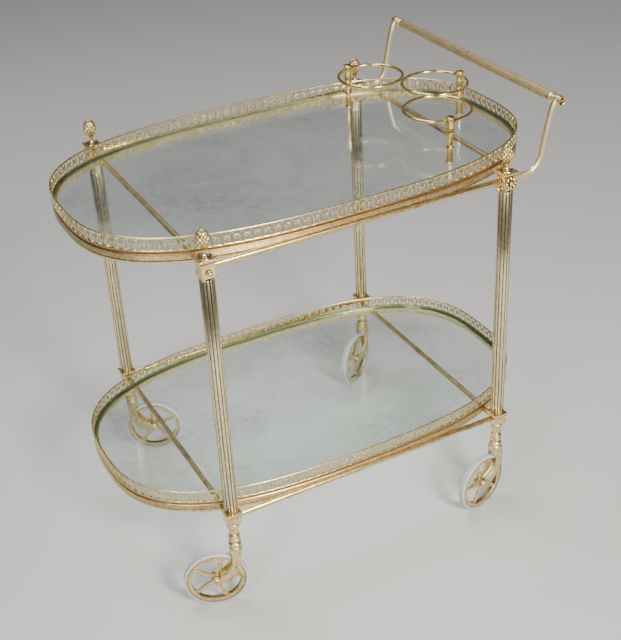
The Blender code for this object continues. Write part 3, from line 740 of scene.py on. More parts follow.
def rosetteShape(radius, thickness):
    petals = block["petals"]
    sides = petals * 12
    around = [2 * math.pi * i / sides for i in range(sides)]
    rows = [[(radius * 0.90 * math.cos(turn), radius * 0.90 * math.sin(turn), 0) for turn in around]]
    hollow = [[0.6] * sides]
    for ring in np.linspace(1.0, 0.0, 19)[:-1]:
        row = []
        marks = []
        for turn in around:
            petal = abs(math.cos(turn * petals / 2))
            edge = radius * (0.86 + 0.14 * petal**0.5)
            inner = max(0.0, 1 - (abs(ring - 0.70) / 0.36) ** 2)
            rise = 0.16 + 0.66 * inner * (0.12 + 0.88 * petal**0.6)
            if ring < 0.36:
                dimple = 0.30 if ring < 0.12 else 0.0
                rise = 0.60 + 0.40 * math.sqrt(max(0.0, 1 - (ring / 0.36) ** 2)) - dimple
            height = thickness * min(rise, 1.0)
            row.append((edge * ring * math.cos(turn), edge * ring * math.sin(turn), height))
            seam = (1 - petal) ** 1.4 if 0.36 < ring < 0.99 else 0.0
            marks.append(min(1.0, seam * 1.6 + (0.9 if 0.33 < ring < 0.46 else 0.0)))
        rows.append(row)
        hollow.append(marks)
    return lofted(rows, hollow)


def makeUpperBlock(corner, sideX, sideY):
    middle = boxMiddle(f"post_{corner}")
    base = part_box(f"post_{corner}")[1].z + gap
    spot, tilt = (0, -block["half"], block["buttonHeight"]), (90, 0, 0)
    if sideX > 0:
        spot, tilt = (-block["half"], 0, block["knobHeight"]), (0, -90, 0)
    ball = placed(ballShape(block["buttonRadius"], block["buttonNeck"]), spot, tilt)
    turn = 180 if sideX < 0 < sideY else 0
    shape = placed(joined(upperBlockShape(), ball), (middle.x, middle.y, base), (0, 0, turn))
    makePiece(f"cornerBlock_{corner}", shape, "castBrass", "frame", f"upper_block_{corner}", sharp=48)


def makeLowerBlock(corner, sideX):
    middle = boxMiddle(f"post_{corner}")
    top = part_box(f"post_{corner}")[0].z - gap
    low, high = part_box(f"lower_block_{corner}")
    lower = lowerBlockShape(low.z - top)
    if sideX > 0:
        flower = rosetteShape(boxSize("rosette_front").x / 2, high.x - middle.x - block["half"])
        lower = joined(lower, placed(flower, (block["half"], 0, -block["rosetteDrop"]), (0, 90, 0)))
    shape = placed(lower, (middle.x, middle.y, top))
    makePiece(f"footBlock_{corner}", shape, "castBrass", "frame", f"lower_block_{corner}", sharp=48)


def makeBlocks():
    for corner, (sideX, sideY) in corners.items():
        makeUpperBlock(corner, sideX, sideY)
        makeLowerBlock(corner, sideX)
    for side, outward in (("front", -1), ("back", 1)):
        middle = boxMiddle(f"rosette_{side}")
        size = boxSize(f"rosette_{side}")
        face = middle.y - outward * size.y / 2
        shape = placed(rosetteShape(size.x / 2, size.y), (middle.x, face, middle.z), (-90 * outward, 0, 0))
        makePiece(f"petalRosette_{side}", shape, "castBrass", "frame", f"rosette_{side}", sharp=60)


makeBlocks()
print("corner blocks and rosettes are made")


# pinecone finials

cone = {
    "around": 8, "turns": 3.6, "scaleRise": 0.0017, "sides": 128, "rows": 64, "footShare": 0.285,
    "turn": 17, "swellAt": (0.0, 0.10, 0.25, 0.42, 0.60, 0.75, 0.88, 0.96, 1.0),
    "swell": (0.32, 0.62, 0.88, 1.0, 0.97, 0.84, 0.60, 0.33, 0.08),
}


def finialShape(height, radius):
    foot = [
        (axis, 0.0), (0.0058, 0.0), (0.0062, 0.0004), (0.0062, 0.0011), (0.0055, 0.0019),
        (0.0042, 0.0032), (0.0033, 0.0050), (0.0029, 0.0070), (0.0029, 0.0094), (0.0034, 0.0106),
        (0.0042, 0.0116),
    ]
    start = cone["footShare"] * height
    rows = []
    hollow = []
    for i in range(cone["rows"] + 1):
        t = i / cone["rows"]
        swell = float(np.interp(t, cone["swellAt"], cone["swell"]))
        z = start + (height - start - cone["scaleRise"] * 0.4) * t
        body = radius * swell - cone["scaleRise"] * 0.8 * min(1.0, swell)
        row = []
        marks = []
        for j in range(cone["sides"]):
            share = j / cone["sides"]
            turn = 2 * math.pi * share
            a = (cone["around"] * share + cone["turns"] * t) % 1.0
            b = (cone["around"] * share - cone["turns"] * t) % 1.0
            # each scale is a diamond, fullest near its upper tip and cut off sharply above it
            up = (a + 1 - b) / 2
            edge = max(abs(2 * a - 1), abs(2 * b - 1))
            rise = (1 - edge**4) * (0.30 + 0.70 * up)
            r = max(0.0002, body + cone["scaleRise"] * rise * min(1.0, swell * 1.3))
            row.append((r * math.cos(turn), r * math.sin(turn), z + cone["scaleRise"] * 0.35 * rise))
            marks.append(min(1.0, edge**6 * 1.1))
        rows.append(row)
        hollow.append(marks)
    return joined(turnedShape(rounded(foot, 0.0006), 32), lofted(rows, hollow))


def makeFinials():
    for corner in corners:
        low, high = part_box(f"finial_{corner}")
        middle = boxMiddle(f"finial_{corner}")
        shape = finialShape(high.z - low.z, (high.x - low.x) / 2)
        shape = placed(shape, (middle.x, middle.y, low.z), (0, 0, cone["turn"]))
        makePiece(f"pineFinial_{corner}", shape, "castBrass", "frame", f"finial_{corner}", sharp=70)


makeFinials()
print("finials are made")


# rails and crossbars

rod = {"sides": 28, "round": 0.0008}


def rodShape(length, radius):
    half = length / 2
    profile = [(axis, half), (radius, half), (radius, -half), (axis, -half)]
    return turnedShape(rounded(profile, rod["round"]), rod["sides"])


def makeRods():
    for tier in ("upper", "lower"):
        for side in ("front", "back"):
            node = f"{tier}_rail_{side}"
            size = boxSize(node)
            shape = placed(rodShape(size.x, size.z / 2), boxMiddle(node), (0, 90, 0))
            makePiece(f"longRail_{tier}_{side}", shape, "longTubeBrass", "frame", node)
        for side in ("left", "right"):
            node = f"{tier}_crossbar_{side}"
            size = boxSize(node)
            shape = placed(rodShape(size.y, size.z / 2), boxMiddle(node), (90, 0, 0))
            makePiece(f"crossBar_{tier}_{side}", shape, "crossTubeBrass", "frame", node)


makeRods()
print("rails and crossbars are made")


# the oval trays

tray = {
    "squareness": 2.8, "samples": 4000, "stations": 300, "coveDepth": 0.0014, "ribs": 4,
    "ribDepth": 0.00035, "wall": 0.0022, "ledgeWidth": 0.0060, "ledgeThickness": 0.0015,
    "glassThickness": 0.0050, "glassFit": 0.0004, "ledgeBevel": 0.0003, "arris": 0.0006,
}
gallery = {
    "pitch": 0.0143, "lipRadius": 0.00145, "depth": 0.00095, "ovalWidth": 0.0068, "ringWall": 0.0017,
    "footHeight": 0.0024, "knotHole": 0.0010, "perUnit": 6, "notch": 0.0010, "notchWidth": 0.0010,
    "wall": 0.0012, "insetShare": 0.75, "lipStations": 360,
}


def ovalTable():
    low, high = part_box("upper_rim")
    a, b, power = (high.x - low.x) / 2, (high.y - low.y) / 2, 2 / tray["squareness"]
    turn = np.linspace(0, 2 * math.pi, tray["samples"] + 1)
    c, s = np.cos(turn), np.sin(turn)
    x = a * np.sign(c) * np.abs(c) ** power
    y = b * np.sign(s) * np.abs(s) ** power
    nx = np.sign(x) * (np.abs(x) / a) ** (tray["squareness"] - 1) / a
    ny = np.sign(y) * (np.abs(y) / b) ** (tray["squareness"] - 1) / b
    size = np.hypot(nx, ny)
    run = np.concatenate([[0.0], np.cumsum(np.hypot(np.diff(x), np.diff(y)))])
    middle = (low + high) / 2
    table = {"run": run, "x": x + middle.x, "y": y + middle.y, "nx": nx / size, "ny": ny / size}
    return {**table, "length": float(run[-1])}


oval = ovalTable()


def onOval(along, inset, height):
    # world points for arrays of distance along the oval, distance in from it, and height
    along = np.mod(along, oval["length"])
    x, y, nx, ny = (np.interp(along, oval["run"], oval[key]) for key in ("x", "y", "nx", "ny"))
    size = np.hypot(nx, ny)
    return np.stack([x - nx / size * inset, y - ny / size * inset, height + np.zeros_like(x)], 1)


def ovalBand(section, count, hollow=None, dip=None):
    # a closed section of (inset, height) points carried round the oval; dip gives a point's change in height
    along = np.arange(count) * oval["length"] / count
    columns = []
    for k, (inset, height) in enumerate(section):
        lift = dip(along, k) if dip else 0.0
        columns.append(onOval(along, inset, height + lift))
    rows = [[Vector(column[i]) for column in columns] for i in range(count)]
    marks = hollow or [0.0] * len(section)
    return lofted(rows, [marks] * count, loop=True)


def rimSection(top, bottom):
    # from the top edge down the outside: cove, ribs, groove, bottom bead; then up the inside round the ledge
    line = [(0.0004, top)]
    marks = [0.2]
    cove = tray["coveDepth"]
    coveHigh, coveLow = top - 0.0006, top - 0.0054
    for step in range(8):
        t = step / 7
        line.append((0.0003 + cove * math.sin(math.pi * t) ** 0.8, coveHigh + (coveLow - coveHigh) * t))
        marks.append(0.35 + 0.45 * math.sin(math.pi * t))
    ribHigh, ribLow = coveLow - 0.0003, coveLow - 0.0077
    steps = tray["ribs"] * 6
    for step in range(steps + 1):
        t = step / steps
        groove = (0.5 - 0.5 * math.cos(2 * math.pi * tray["ribs"] * t)) ** 0.6
        line.append((tray["ribDepth"] * (1 - groove), ribHigh + (ribLow - ribHigh) * t))
        marks.append(0.75 * (1 - groove))
    line += [(0.0012, ribLow - 0.0003), (0.0012, ribLow - 0.0009)]
    line += [(0.0003, ribLow - 0.0012), (0.0, ribLow - 0.0020)]
    marks += [1.0, 1.0, 0.2, 0.0]
    wall, bevel = tray["wall"], tray["ledgeBevel"]
    line += [(0.0, bottom + 0.0007), (0.0006, bottom), (wall - 0.0004, bottom), (wall, bottom + 0.0004)]
    marks += [0.0, 0.1, 0.2, 0.2]
    ledgeTop = top - tray["glassThickness"] - gap
    ledgeLow = ledgeTop - tray["ledgeThickness"]
    reach = wall + tray["ledgeWidth"]
    line += [(wall, ledgeLow), (reach - bevel, ledgeLow), (reach, ledgeLow + bevel)]
    line += [(reach, ledgeTop - bevel), (reach - bevel, ledgeTop), (wall, ledgeTop), (wall, top)]
    marks += [0.4, 0.2, 0.1, 0.1, 0.2, 0.6, 0.3]
    return line, marks


def offsetLoop(loop, distance):
    # a closed loop of (along, height) points, each moved out along its own normal
    result = []
    for before, here, after in zip(loop[-1:] + loop[:-1], loop, loop[1:] + loop[:1]):
        run = (Vector(after) - Vector(before)).normalized()
        result.append((here[0] + run.y * distance, here[1] - run.x * distance))
    return result


def platePierced(outline, holes, depth, edge):
    # a flat plate with rounded edges: outline counter-clockwise, holes clockwise, in (along, height)
    points = []
    faces = []
    marks = []
    loops = [outline] + holes
    flats = [offsetLoop(loop, -edge) for loop in loops]
    for side in (1, -1):
        start = len(points)
        flat = [Vector((x, y, 0)) for loop in flats for x, y in loop]
        points += [(p.x, side * depth, p.y) for p in flat]
        marks += [0.0] * len(flat)
        index = tessellate_polygon([[Vector((x, y, 0)) for x, y in loop] for loop in flats])
        faces += [tuple(i + start for i in face) for face in index]
    total = sum(len(loop) for loop in loops)
    at = 0
    for loop in loops:
        size = len(loop)
        walls = []
        for side in (1, -1):
            walls.append(len(points))
            points += [(x, side * (depth - edge), y) for x, y in loop]
            marks += [0.55] * size
        for i in range(size):
            j = (i + 1) % size
            faces.append((at + i, at + j, walls[0] + j, walls[0] + i))
            faces.append((walls[0] + i, walls[0] + j, walls[1] + j, walls[1] + i))
            faces.append((walls[1] + i, walls[1] + j, total + at + j, total + at + i))
        at += size
    return shapeOf(points, faces, marks)


def galleryUnit(pitch, low, high):
    # one pointed oval and the knotted plate beside it, in (along, out, height), from its own middle
    tall = high - low
    middle = (low + high) / 2
    halfWide = gallery["ovalWidth"] / 2
    wall, depth = gallery["ringWall"] / 2, gallery["depth"]
    section = [
        (-wall, -depth * 0.6), (-wall, depth * 0.6), (-wall * 0.5, depth), (wall * 0.5, depth),
        (wall, depth * 0.6), (wall, -depth * 0.6), (wall * 0.5, -depth), (-wall * 0.5, -depth),
    ]
    path = []
    steps = 10
    for step in range(2 * steps):
        turn = math.pi * step / steps
        bow = math.copysign(abs(math.cos(turn)) ** 1.3, math.cos(turn))
        path.append((halfWide * bow, middle + tall / 2 * math.sin(turn)))
    rows = []
    for i, (x, z) in enumerate(path):
        after, before = path[(i + 1) % len(path)], path[i - 1]
        run = Vector((after[0] - before[0], after[1] - before[1])).normalized()
        rows.append([Vector((x + run.y * u, v, z - run.x * u)) for u, v in section])
    ringMarks = [0.6, 0.3, 0.0, 0.0, 0.0, 0.3, 0.5, 0.5]
    ringShape = lofted(rows, [ringMarks] * len(rows), loop=True)
    sideAt = pitch / 2 - halfWide
    centre = pitch / 2
    head, waist, sill = low + tall * 0.745, low + tall * 0.52, low + tall * 0.325
    # the web between two ovals: a waisted plate, its upper and lower edges sagging towards its middle
    outline = [
        (centre - sideAt * 1.24, sill - 0.0003), (centre - sideAt * 0.62, sill + 0.0006),
        (centre, sill + 0.0011), (centre + sideAt * 0.62, sill + 0.0006),
        (centre + sideAt * 1.24, sill - 0.0003), (centre + sideAt * 1.02, waist),
        (centre + sideAt * 1.24, head + 0.0003), (centre + sideAt * 0.62, head - 0.0005),
        (centre, head - 0.0009), (centre - sideAt * 0.62, head - 0.0005),
        (centre - sideAt * 1.24, head + 0.0003), (centre - sideAt * 1.02, waist),
    ]
    eye = gallery["knotHole"]
    hole = []
    for i in range(10):
        turn = -2 * math.pi * i / 10
        hole.append((centre + eye * math.cos(turn), waist + tall * 0.01 + eye * math.sin(turn)))
    plate = platePierced(outline, [hole], depth * 0.82, 0.00025)
    return joined(ringShape, plate)


def galleryShape(low, high, inset):
    count = round(oval["length"] / gallery["pitch"])
    pitch = oval["length"] / count
    unit = galleryUnit(pitch, low + gallery["footHeight"] * 0.6, high - gallery["lipRadius"] * 1.7)
    local = np.array([tuple(p) for p in unit["points"]])
    size = len(local)
    points = []
    faces = []
    for n in range(count):
        points += [Vector(p) for p in onOval(local[:, 0] + n * pitch, inset - local[:, 1], local[:, 2])]
        faces += [tuple(i + n * size for i in face) for face in unit["faces"]]
    whole = {"points": points, "faces": faces, "hollow": unit["hollow"] * count}
    r = gallery["lipRadius"]
    lip = [(inset + x, high - r + z) for x, z in circle(r, 12)]
    foot = gallery["footHeight"]
    depth = gallery["depth"]
    base = [
        (inset - depth * 1.35, low), (inset - depth * 1.5, low + foot * 0.35),
        (inset - depth * 1.2, low + foot * 0.8), (inset - depth * 0.8, low + foot),
        (inset + depth * 0.9, low + foot), (inset + depth, low),
    ]

    def notched(along, k):
        if k not in (2, 3):
            return 0.0
        near = np.abs((along / pitch + 0.5) % 1.0 - 0.5) * pitch
        return -gallery["notch"] * np.exp(-((near / gallery["notchWidth"]) ** 2))

    stations = count * gallery["perUnit"]
    top = ovalBand(lip, gallery["lipStations"])
    return joined(whole, top, ovalBand(base, stations, [0.7, 0.3, 0.0, 0.1, 0.3, 0.5], notched))


def paneShape(low, high):
    fit = tray["wall"] + tray["glassFit"]
    count = tray["stations"]
    along = np.arange(count) * oval["length"] / count
    arris = tray["arris"]
    rows = []
    marks = []
    for inset, height, mark in (
        (fit + 0.0070, low, 0.0), (fit + 0.0050, low, 0.25), (fit + arris, low, 0.9),
        (fit, low + arris, 1.0), (fit, high - arris, 1.0), (fit + arris, high, 0.9),
        (fit + 0.0035, high, 0.35), (fit + 0.0060, high, 0.0),
    ):
        rows.append([Vector(p) for p in onOval(along, inset, np.full(count, height))])
        marks.append([mark] * count)
    return lofted(rows, marks)


def makeTrays():
    for tier in ("upper", "lower"):
        rimLow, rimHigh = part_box(f"{tier}_rim")
        section, marks = rimSection(rimHigh.z, rimLow.z)
        rim = ovalBand(section, tray["stations"], marks)
        makePiece(f"ribbedRim_{tier}", rim, "ribbedBrass", "frame", f"{tier}_rim", sharp=50)
        low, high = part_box(f"{tier}_gallery")
        strip = galleryShape(low.z, high.z, gallery["wall"] * gallery["insetShare"])
        makePiece(f"piercedGallery_{tier}", strip, "piercedBrass", "frame", f"{tier}_gallery", sharp=50)
        low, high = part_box(f"{tier}_glass")
        pane = paneShape(low.z, high.z)
        makePiece(f"glassPane_{tier}", pane, "paneGlass", "frame", f"{tier}_glass", sharp=30)


makeTrays()
print("trays are made")


# the bottle rack

rack = {
    "wire": 0.0025, "ringPoints": 96, "wireSides": 14, "solder": 1.35, "solderShare": 0.014,
    "endShare": 0.93,
}


def legShape(height, radius):
    line = [
        (axis, 1.0), (0.50, 0.998), (0.90, 0.990, 0.0008), (1.0, 0.975), (1.0, 0.950), (0.90, 0.938),
        (0.86, 0.925), (0.90, 0.90), (0.92, 0.84), (0.90, 0.76), (0.96, 0.745), (0.96, 0.735),
        (0.78, 0.722), (0.84, 0.70), (0.90, 0.66), (0.88, 0.60, 0.004), (0.74, 0.48, 0.004),
        (0.60, 0.385, 0.002), (0.66, 0.370), (0.86, 0.352), (0.86, 0.335), (0.68, 0.318), (0.62, 0.300),
        (0.68, 0.22, 0.003), (0.80, 0.10, 0.003), (0.86, 0.060), (0.92, 0.045), (0.92, 0.012),
        (0.86, 0.0), (axis, 0.0),
    ]
    profile = [(p[0] * radius, p[1] * height, *p[2:]) for p in line]
    return turnedShape(rounded(profile, 0.0005), 32)


def solderedEnds(share):
    # how thick the wire is, as a share of its radius: it swells into a blob of solder at each end
    near = max(0.0, 1 - min(share, 1 - share) / rack["solderShare"])
    return 1 + (rack["solder"] - 1) * near**1.5


def makeRack():
    for name in ("back", "middle", "front"):
        low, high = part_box(f"rack_leg_{name}")
        leg = boxMiddle(f"rack_leg_{name}")
        radius = boxSize(f"rack_leg_{name}").y / 2
        height = boxMiddle(f"bottle_ring_{name}").z
        middle = ringMiddle(name)
        bearing = math.atan2(leg.y - middle.y, leg.x - middle.x)
        reach = (Vector((leg.x, leg.y)) - middle).length
        start = (radius * rack["endShare"]) / reach
        path = []
        for i in range(rack["ringPoints"] + 1):
            turn = bearing + start + (2 * math.pi - 2 * start) * i / rack["ringPoints"]
            x, y = middle.x + reach * math.cos(turn), middle.y + reach * math.sin(turn)
            path.append(Vector((x, y, height)))
        shape = swept(path, circle(rack["wire"], rack["wireSides"]), scaleAt=solderedEnds)
        makePiece(f"wireRing_{name}", shape, "rackBrass", "frame", f"bottle_ring_{name}")
        spindle = placed(legShape(high.z - low.z, radius), (leg.x, leg.y, low.z))
        makePiece(f"turnedLeg_{name}", spindle, "rackBrass", "frame", f"rack_leg_{name}")


def ringMiddle(name):
    # the ring is open where its leg stands, so its middle comes from its two full sides
    low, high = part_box(f"bottle_ring_{name}")
    leg = boxMiddle(f"rack_leg_{name}")
    size = high - low
    full = max(size.x, size.y)
    middle = Vector(((low.x + high.x) / 2, (low.y + high.y) / 2))
    if size.x < full - 0.0002:
        middle.x = high.x - full / 2 if leg.x < middle.x else low.x + full / 2
    if size.y < full - 0.0002:
        middle.y = high.y - full / 2 if leg.y < middle.y else low.y + full / 2
    return middle


makeRack()
print("bottle rack is made")


# the push handle

handle = {
    "armRadius": 0.0045, "eyeRadius": 0.0074, "eyeLength": 0.0110, "gripRadius": 0.0073,
    "collarRadius": 0.0083,
    "reeds": 14, "reedDepth": 0.0008, "slotWidth": 0.0018, "perReed": 8, "neckLength": 0.0064,
    "rise": 0.0155,
    "armSides": 24, "steps": [
        (0.0182, 0.0007), (0.0352, 0.0045), (0.0472, 0.0170), (0.0527, 0.0395), (0.0597, 0.0735),
        (0.0657, 0.0945),
    ],
    "armEnd": (-0.0040, 0.0005),
}


def makeArm(side, grip):
    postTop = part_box(f"post_{side}_right")[1].z
    y = boxMiddle(f"post_{side}_right").y
    root = Vector((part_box(f"handle_arm_{side}")[0].x, y, postTop + gap + handle["rise"]))
    endX, endZ = handle["armEnd"]
    route = [root] + [root + Vector((x, 0, z)) for x, z in handle["steps"]]
    route.append(Vector((grip.x + endX, y, grip.z + endZ)))
    arm = swept(smoothed(route, 8), circle(handle["armRadius"], handle["armSides"]), (0, 1, 0))
    r, half = handle["eyeRadius"], handle["eyeLength"] / 2
    eye = turnedShape(rounded([(axis, half), (r, half), (r, -half), (axis, -half)], 0.0022, 4), 36)
    flange = rounded([(axis, 0.0), (0.0066, 0.0), (0.0066, 0.0012), (0.0056, 0.0022), (axis, 0.0022)], 0.0005)
    collar = placed(turnedShape(flange, 28), root, (0, 90, 0))
    shape = joined(arm, placed(eye, (grip.x, y, grip.z), (90, 0, 0)), collar)
    makePiece(f"bentArm_{side}", shape, "gripBrass", "frame", f"handle_arm_{side}", sharp=55)


def makeGrip(grip):
    end = boxSize("handle_grip").y / 2
    ring = handle["collarRadius"]
    neck = end - handle["neckLength"]
    cap = [
        (axis, end), (0.0031, end), (0.0033, end - 0.0008), (0.0048, neck + 0.0012),
        (0.0052, neck + 0.0002), (ring - 0.0007, neck), (ring, neck - 0.0006), (ring, neck - 0.0018),
        (ring - 0.0006, neck - 0.0025), (ring - 0.0016, neck - 0.0027), (ring - 0.0016, neck - 0.0032),
        (axis, neck - 0.0032),
    ]
    knob = turnedShape(rounded(cap, 0.0004), 36)
    perReed = handle["perReed"]
    count = handle["reeds"] * perReed
    reach = neck - 0.0026
    reeded = []
    marks = []
    for i in range(count):
        turn = 2 * math.pi * i / count
        across = abs(2 * ((i / perReed) % 1.0) - 1)
        radius = handle["gripRadius"] - handle["reedDepth"] * (1 - math.sqrt(max(0.0, 1 - across**2)))
        reeded.append((radius * math.cos(turn), radius * math.sin(turn)))
        marks.append(across**4)
    tube = lofted([[(x, y, z) for x, y in reeded] for z in (reach, -reach)], [marks, marks])
    shape = joined(tube, knob, placed(knob, (0, 0, 0), (180, 0, 0)))
    makePiece("reededGrip", placed(shape, grip, (90, 0, 0)), "gripBrass", "frame", "handle_grip", sharp=62)


def makeScrew(side, outward):
    node = f"handle_screw_{side}"
    size = boxSize(node)
    middle = boxMiddle(node)
    radius, height = size.x / 2, size.y
    halfSlot = handle["slotWidth"] / 2
    # columns across the face, with the slot's two edges among them
    right = [halfSlot, halfSlot * 1.08] + [round(v, 6) for v in np.linspace(halfSlot * 1.3, radius, 10)]
    columns = sorted([-x for x in right] + right)
    rows = []
    hollow = []
    for x in columns:
        x = max(-radius * 0.999, min(radius * 0.999, x))
        chord = math.sqrt(max(radius**2 - x**2, 1e-9))
        row = []
        marks = []
        for s in np.linspace(-1, 1, 21):
            y = chord * s
            out = math.hypot(x, y) / radius
            lip = min(1.0, max(0.0, (out - 0.72) / 0.10))
            bevel = max(0.0, (out - 0.90) / 0.10)
            inSlot = abs(x) <= halfSlot * 1.01 and out < 0.97
            z = height * (0.66 + 0.34 * lip * lip * (3 - 2 * lip) - 0.45 * bevel**2)
            row.append((x, y, height * 0.40 if inSlot else z))
            marks.append(0.0 if inSlot or lip > 0.4 else 0.9)
        rows.append(row)
        hollow.append(marks)
    cap = lofted(rows, hollow, ring=False, caps=False)
    edge = [(radius * 0.999, 0.0), (radius, height * 0.12), (radius * 0.998, height * 0.56)]
    skirt = turnedShape(edge, 40, [0.5, 0.2, 0.0])
    face = middle.y - outward * height / 2
    head = placed(joined(cap, skirt), (0, 0, 0), (0, 0, 90))
    shape = placed(head, (middle.x, face, middle.z), (-90 * outward, 0, 0))
    makePiece(f"slottedScrew_{side}", shape, "castBrass", "frame", node, sharp=45)


def makeHandle():
    grip = boxMiddle("handle_grip")
    for side, outward in (("front", -1), ("back", 1)):
        makeArm(side, grip)
        makeScrew(side, outward)
    makeGrip(grip)


makeHandle()
print("handle is made")


# casters

caster = {
    "tyreThickness": 0.0042, "tyreWidth": 0.0110, "tyreRound": 0.0024, "rimWidth": 0.0090,
    "rimThickness": 0.0068, "spokes": 5, "spokeWidth": 0.0064, "spokeDepth": 0.0042, "hubRadius": 0.0080,
    "hubLength": 0.0146, "bore": 0.0029, "bladeGap": 0.0156, "bladeThickness": 0.0024,
    "bladeWidth": 0.0146, "bladeEdge": 0.0006, "stemRadius": 0.0090, "crownRadius": 0.0102,
    "crownBottom": 0.0970, "axleRadius": 0.0026, "headRadius": 0.0046, "headHeight": 0.0018,
    "pinRadius": 0.0036, "pinLength": 0.0110,
    "bladeRoute": [(0, 0.1085), (0, 0.0900), (0.0035, 0.0720), (0.0145, 0.0575), (0.0260, 0.0515)],
    "spokeTurns": {"front_left": 35.0, "front_right": 4.0, "back_left": 20.0, "back_right": 50.0},
}


def bladeShape(trail, hubHeight):
    # from the crown down to the hub, then a round end about the axle
    route = [Vector((x, 0, z)) for x, z in caster["bladeRoute"] + [(trail, hubHeight)]]
    path = smoothed(route, 8)
    half, edge = caster["bladeWidth"] / 2, caster["bladeEdge"]
    rows = []
    for i, point in enumerate(path):
        rows.append(bladeRow(point, aheadOf(path, i), half, edge))
    last = path[-1]
    ahead = aheadOf(path, len(path) - 1)
    for step in range(1, 8):
        turn = math.pi / 2 * step / 7.2
        width = half * math.cos(turn)
        rows.append(bladeRow(last + ahead * half * math.sin(turn), ahead, width, min(edge, width * 0.5)))
    return lofted(rows, [[0.3, 0.0, 0.0, 0.0, 0.0, 0.3, 0.4, 0.4]] * len(rows))


def bladeRow(point, ahead, half, edge):
    thick = caster["bladeThickness"] / 2
    side = Vector((-ahead.z, 0, ahead.x))
    section = [
        (-half, -thick + edge), (-half, thick - edge), (-half + edge, thick), (half - edge, thick),
        (half, thick - edge), (half, -thick + edge), (half - edge, -thick), (-half + edge, -thick),
    ]
    return [point + side * u + Vector((0, v, 0)) for u, v in section]


def forkShape(trail, hubHeight, neck):
    stem, crown, pin = (caster[key] for key in ("stemRadius", "crownRadius", "pinRadius"))
    foot = caster["crownBottom"]
    profile = [
        (axis, neck + caster["pinLength"]), (pin, neck + caster["pinLength"]), (pin, neck),
        (0.0054, neck), (0.0054, neck - 0.0030), (0.0062, neck - 0.0042), (stem - 0.0006, neck - 0.0050),
        (stem, neck - 0.0062), (stem, neck - 0.0084), (stem - 0.0010, neck - 0.0092),
        (stem - 0.0010, neck - 0.0098), (stem, neck - 0.0106), (stem, neck - 0.0146),
        (stem - 0.0010, neck - 0.0154), (stem - 0.0020, neck - 0.0166), (stem - 0.0020, neck - 0.0182),
        (stem - 0.0004, neck - 0.0190), (crown - 0.0004, neck - 0.0204), (crown, neck - 0.0216),
        (crown, neck - 0.0236), (crown - 0.0008, neck - 0.0250), (crown - 0.0016, neck - 0.0262),
        (crown - 0.0004, neck - 0.0276), (crown, neck - 0.0300), (crown, foot + 0.0010),
        (crown - 0.0010, foot), (axis, foot),
    ]
    shape = turnedShape(rounded(profile, 0.0006), 40)
    middle = caster["bladeGap"] / 2 + caster["bladeThickness"] / 2
    blade = bladeShape(trail, hubHeight)
    boss = rounded([(axis, 0.0), (0.0062, 0.0), (0.0062, 0.0005), (0.0056, 0.0010), (axis, 0.0010)], 0.0003)
    for side in (-1, 1):
        shape = joined(shape, placed(blade, (0, side * middle, 0)))
        outer = side * (caster["bladeGap"] / 2 + caster["bladeThickness"] - 0.0004)
        shape = joined(shape, placed(turnedShape(boss, 28), (trail, outer, hubHeight), (-90 * side, 0, 0)))
    return shape


def wheelShape(radius):
    outer = radius - caster["tyreThickness"]
    inner = outer - caster["rimThickness"]
    half = caster["rimWidth"] / 2
    band = [
        (inner + 0.0006, half), (outer - 0.0004, half), (outer, half - 0.0004), (outer, -half + 0.0004),
        (outer - 0.0004, -half), (inner + 0.0006, -half), (inner, -half + 0.0010),
        (inner - 0.0002, -half + 0.0022), (inner - 0.0002, half - 0.0022), (inner, half - 0.0010),
    ]
    rim = turnedShape(band, 96, [0.1, 0.5, 0.5, 0.5, 0.5, 0.1, 0.2, 0.7, 0.7, 0.2], loop=True)
    bore, hub, halfHub = caster["bore"], caster["hubRadius"], caster["hubLength"] / 2
    side = [
        (bore, halfHub), (hub - 0.0014, halfHub), (hub - 0.0008, halfHub - 0.0006),
        (hub - 0.0008, halfHub - 0.0022), (hub, 0.0034),
    ]
    hubLine = side + [(r, -z) for r, z in reversed(side)]
    hubMarks = [0.5, 0.1, 0.0, 0.8, 0.3, 0.3, 0.8, 0.0, 0.1, 0.5]
    shape = joined(rim, turnedShape(hubLine, 40, hubMarks, loop=True))
    upper = [(-1, 0.5), (-0.72, 0.9), (-0.3, 1), (0.3, 1), (0.72, 0.9), (1, 0.5)]
    section = [(-1, -0.5)] + upper + [(u, -v) for u, v in reversed(upper[1:])]
    for spoke in range(caster["spokes"]):
        rows = []
        marks = []
        for t in np.linspace(0, 1, 9):
            x = hub * 0.72 + (inner + 0.0016 - hub * 0.72) * t
            flare = 1 + 0.45 * max(0.0, (t - 0.80) / 0.20) ** 2 + 0.30 * max(0.0, (0.22 - t) / 0.22) ** 2
            w, d = caster["spokeWidth"] / 2 * (0.86 + 0.10 * t) * flare, caster["spokeDepth"] / 2
            rows.append([(x, w * u, d * v) for u, v in section])
            marks.append([0.5 if t > 0.93 or t < 0.08 else 0.1] * len(section))
        shape = joined(shape, placed(lofted(rows, marks), (0, 0, 0), (0, 0, 360 * spoke / caster["spokes"])))
    return shape


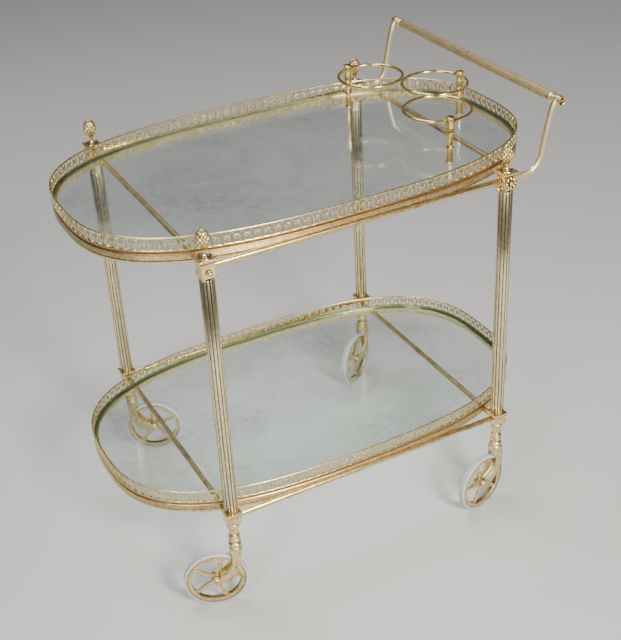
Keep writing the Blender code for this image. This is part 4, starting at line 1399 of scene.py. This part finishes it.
def tyreShape(radius):
    inner, half, bend = radius - caster["tyreThickness"] + gap, caster["tyreWidth"] / 2, caster["tyreRound"]
    line = [(inner, half - 0.0006), (inner + 0.0008, half), (radius - bend, half)]
    for turn in np.linspace(0, math.pi / 2, 6)[1:]:
        line.append((radius - bend + bend * math.sin(turn), half - bend + bend * math.cos(turn)))
    below = [(r, -z) for r, z in reversed(line)]
    marks = [1.0, 0.7, 0.0, 0.0, 0.0, 0.0, 0.2, 0.5]
    return turnedShape(line + below, 120, marks + marks[::-1], loop=True)


def axleShape():
    shoulder = caster["bladeGap"] / 2 + caster["bladeThickness"] + gap
    head, rise = caster["headRadius"], caster["headHeight"]
    side = [
        (axis, shoulder + rise), (head * 0.5, shoulder + rise * 0.95),
        (head * 0.85, shoulder + rise * 0.65), (head, shoulder + rise * 0.25), (head, shoulder),
        (caster["axleRadius"], shoulder),
    ]
    return turnedShape(side + [(r, -z) for r, z in reversed(side)], 28, [0.0] * 2 * len(side))


def makeCaster(corner):
    swivelAt = boxMiddle(f"post_{corner}")
    hub = boxMiddle(f"axle_{corner}")
    radius = hub.z
    trail = math.hypot(hub.x - swivelAt.x, hub.y - swivelAt.y)
    heading = math.degrees(math.atan2(hub.y - swivelAt.y, hub.x - swivelAt.x))
    upright = (90, 0, heading)
    swivel, roller = f"swivel_{corner}", f"roller_{corner}"
    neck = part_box(f"lower_block_{corner}")[0].z - gap
    fork = placed(forkShape(trail, hub.z, neck), (swivelAt.x, swivelAt.y, 0), (0, 0, heading))
    makePiece(f"casterFork_{corner}", fork, "casterBrass", swivel, f"caster_fork_{corner}", sharp=48)
    axle = placed(axleShape(), hub, upright)
    makePiece(f"wheelAxle_{corner}", axle, "casterBrass", swivel, f"axle_{corner}")
    wheel = placed(wheelShape(radius), (0, 0, 0), (0, 0, caster["spokeTurns"][corner]))
    wheel = placed(wheel, hub, upright)
    makePiece(f"spokedWheel_{corner}", wheel, "casterBrass", roller, f"wheel_{corner}", sharp=48)
    tyre = placed(tyreShape(radius), hub, upright)
    makePiece(f"greyTyre_{corner}", tyre, "greyTyre", roller, f"tyre_{corner}")


for corner in corners:
    makeCaster(corner)
print("casters are made")
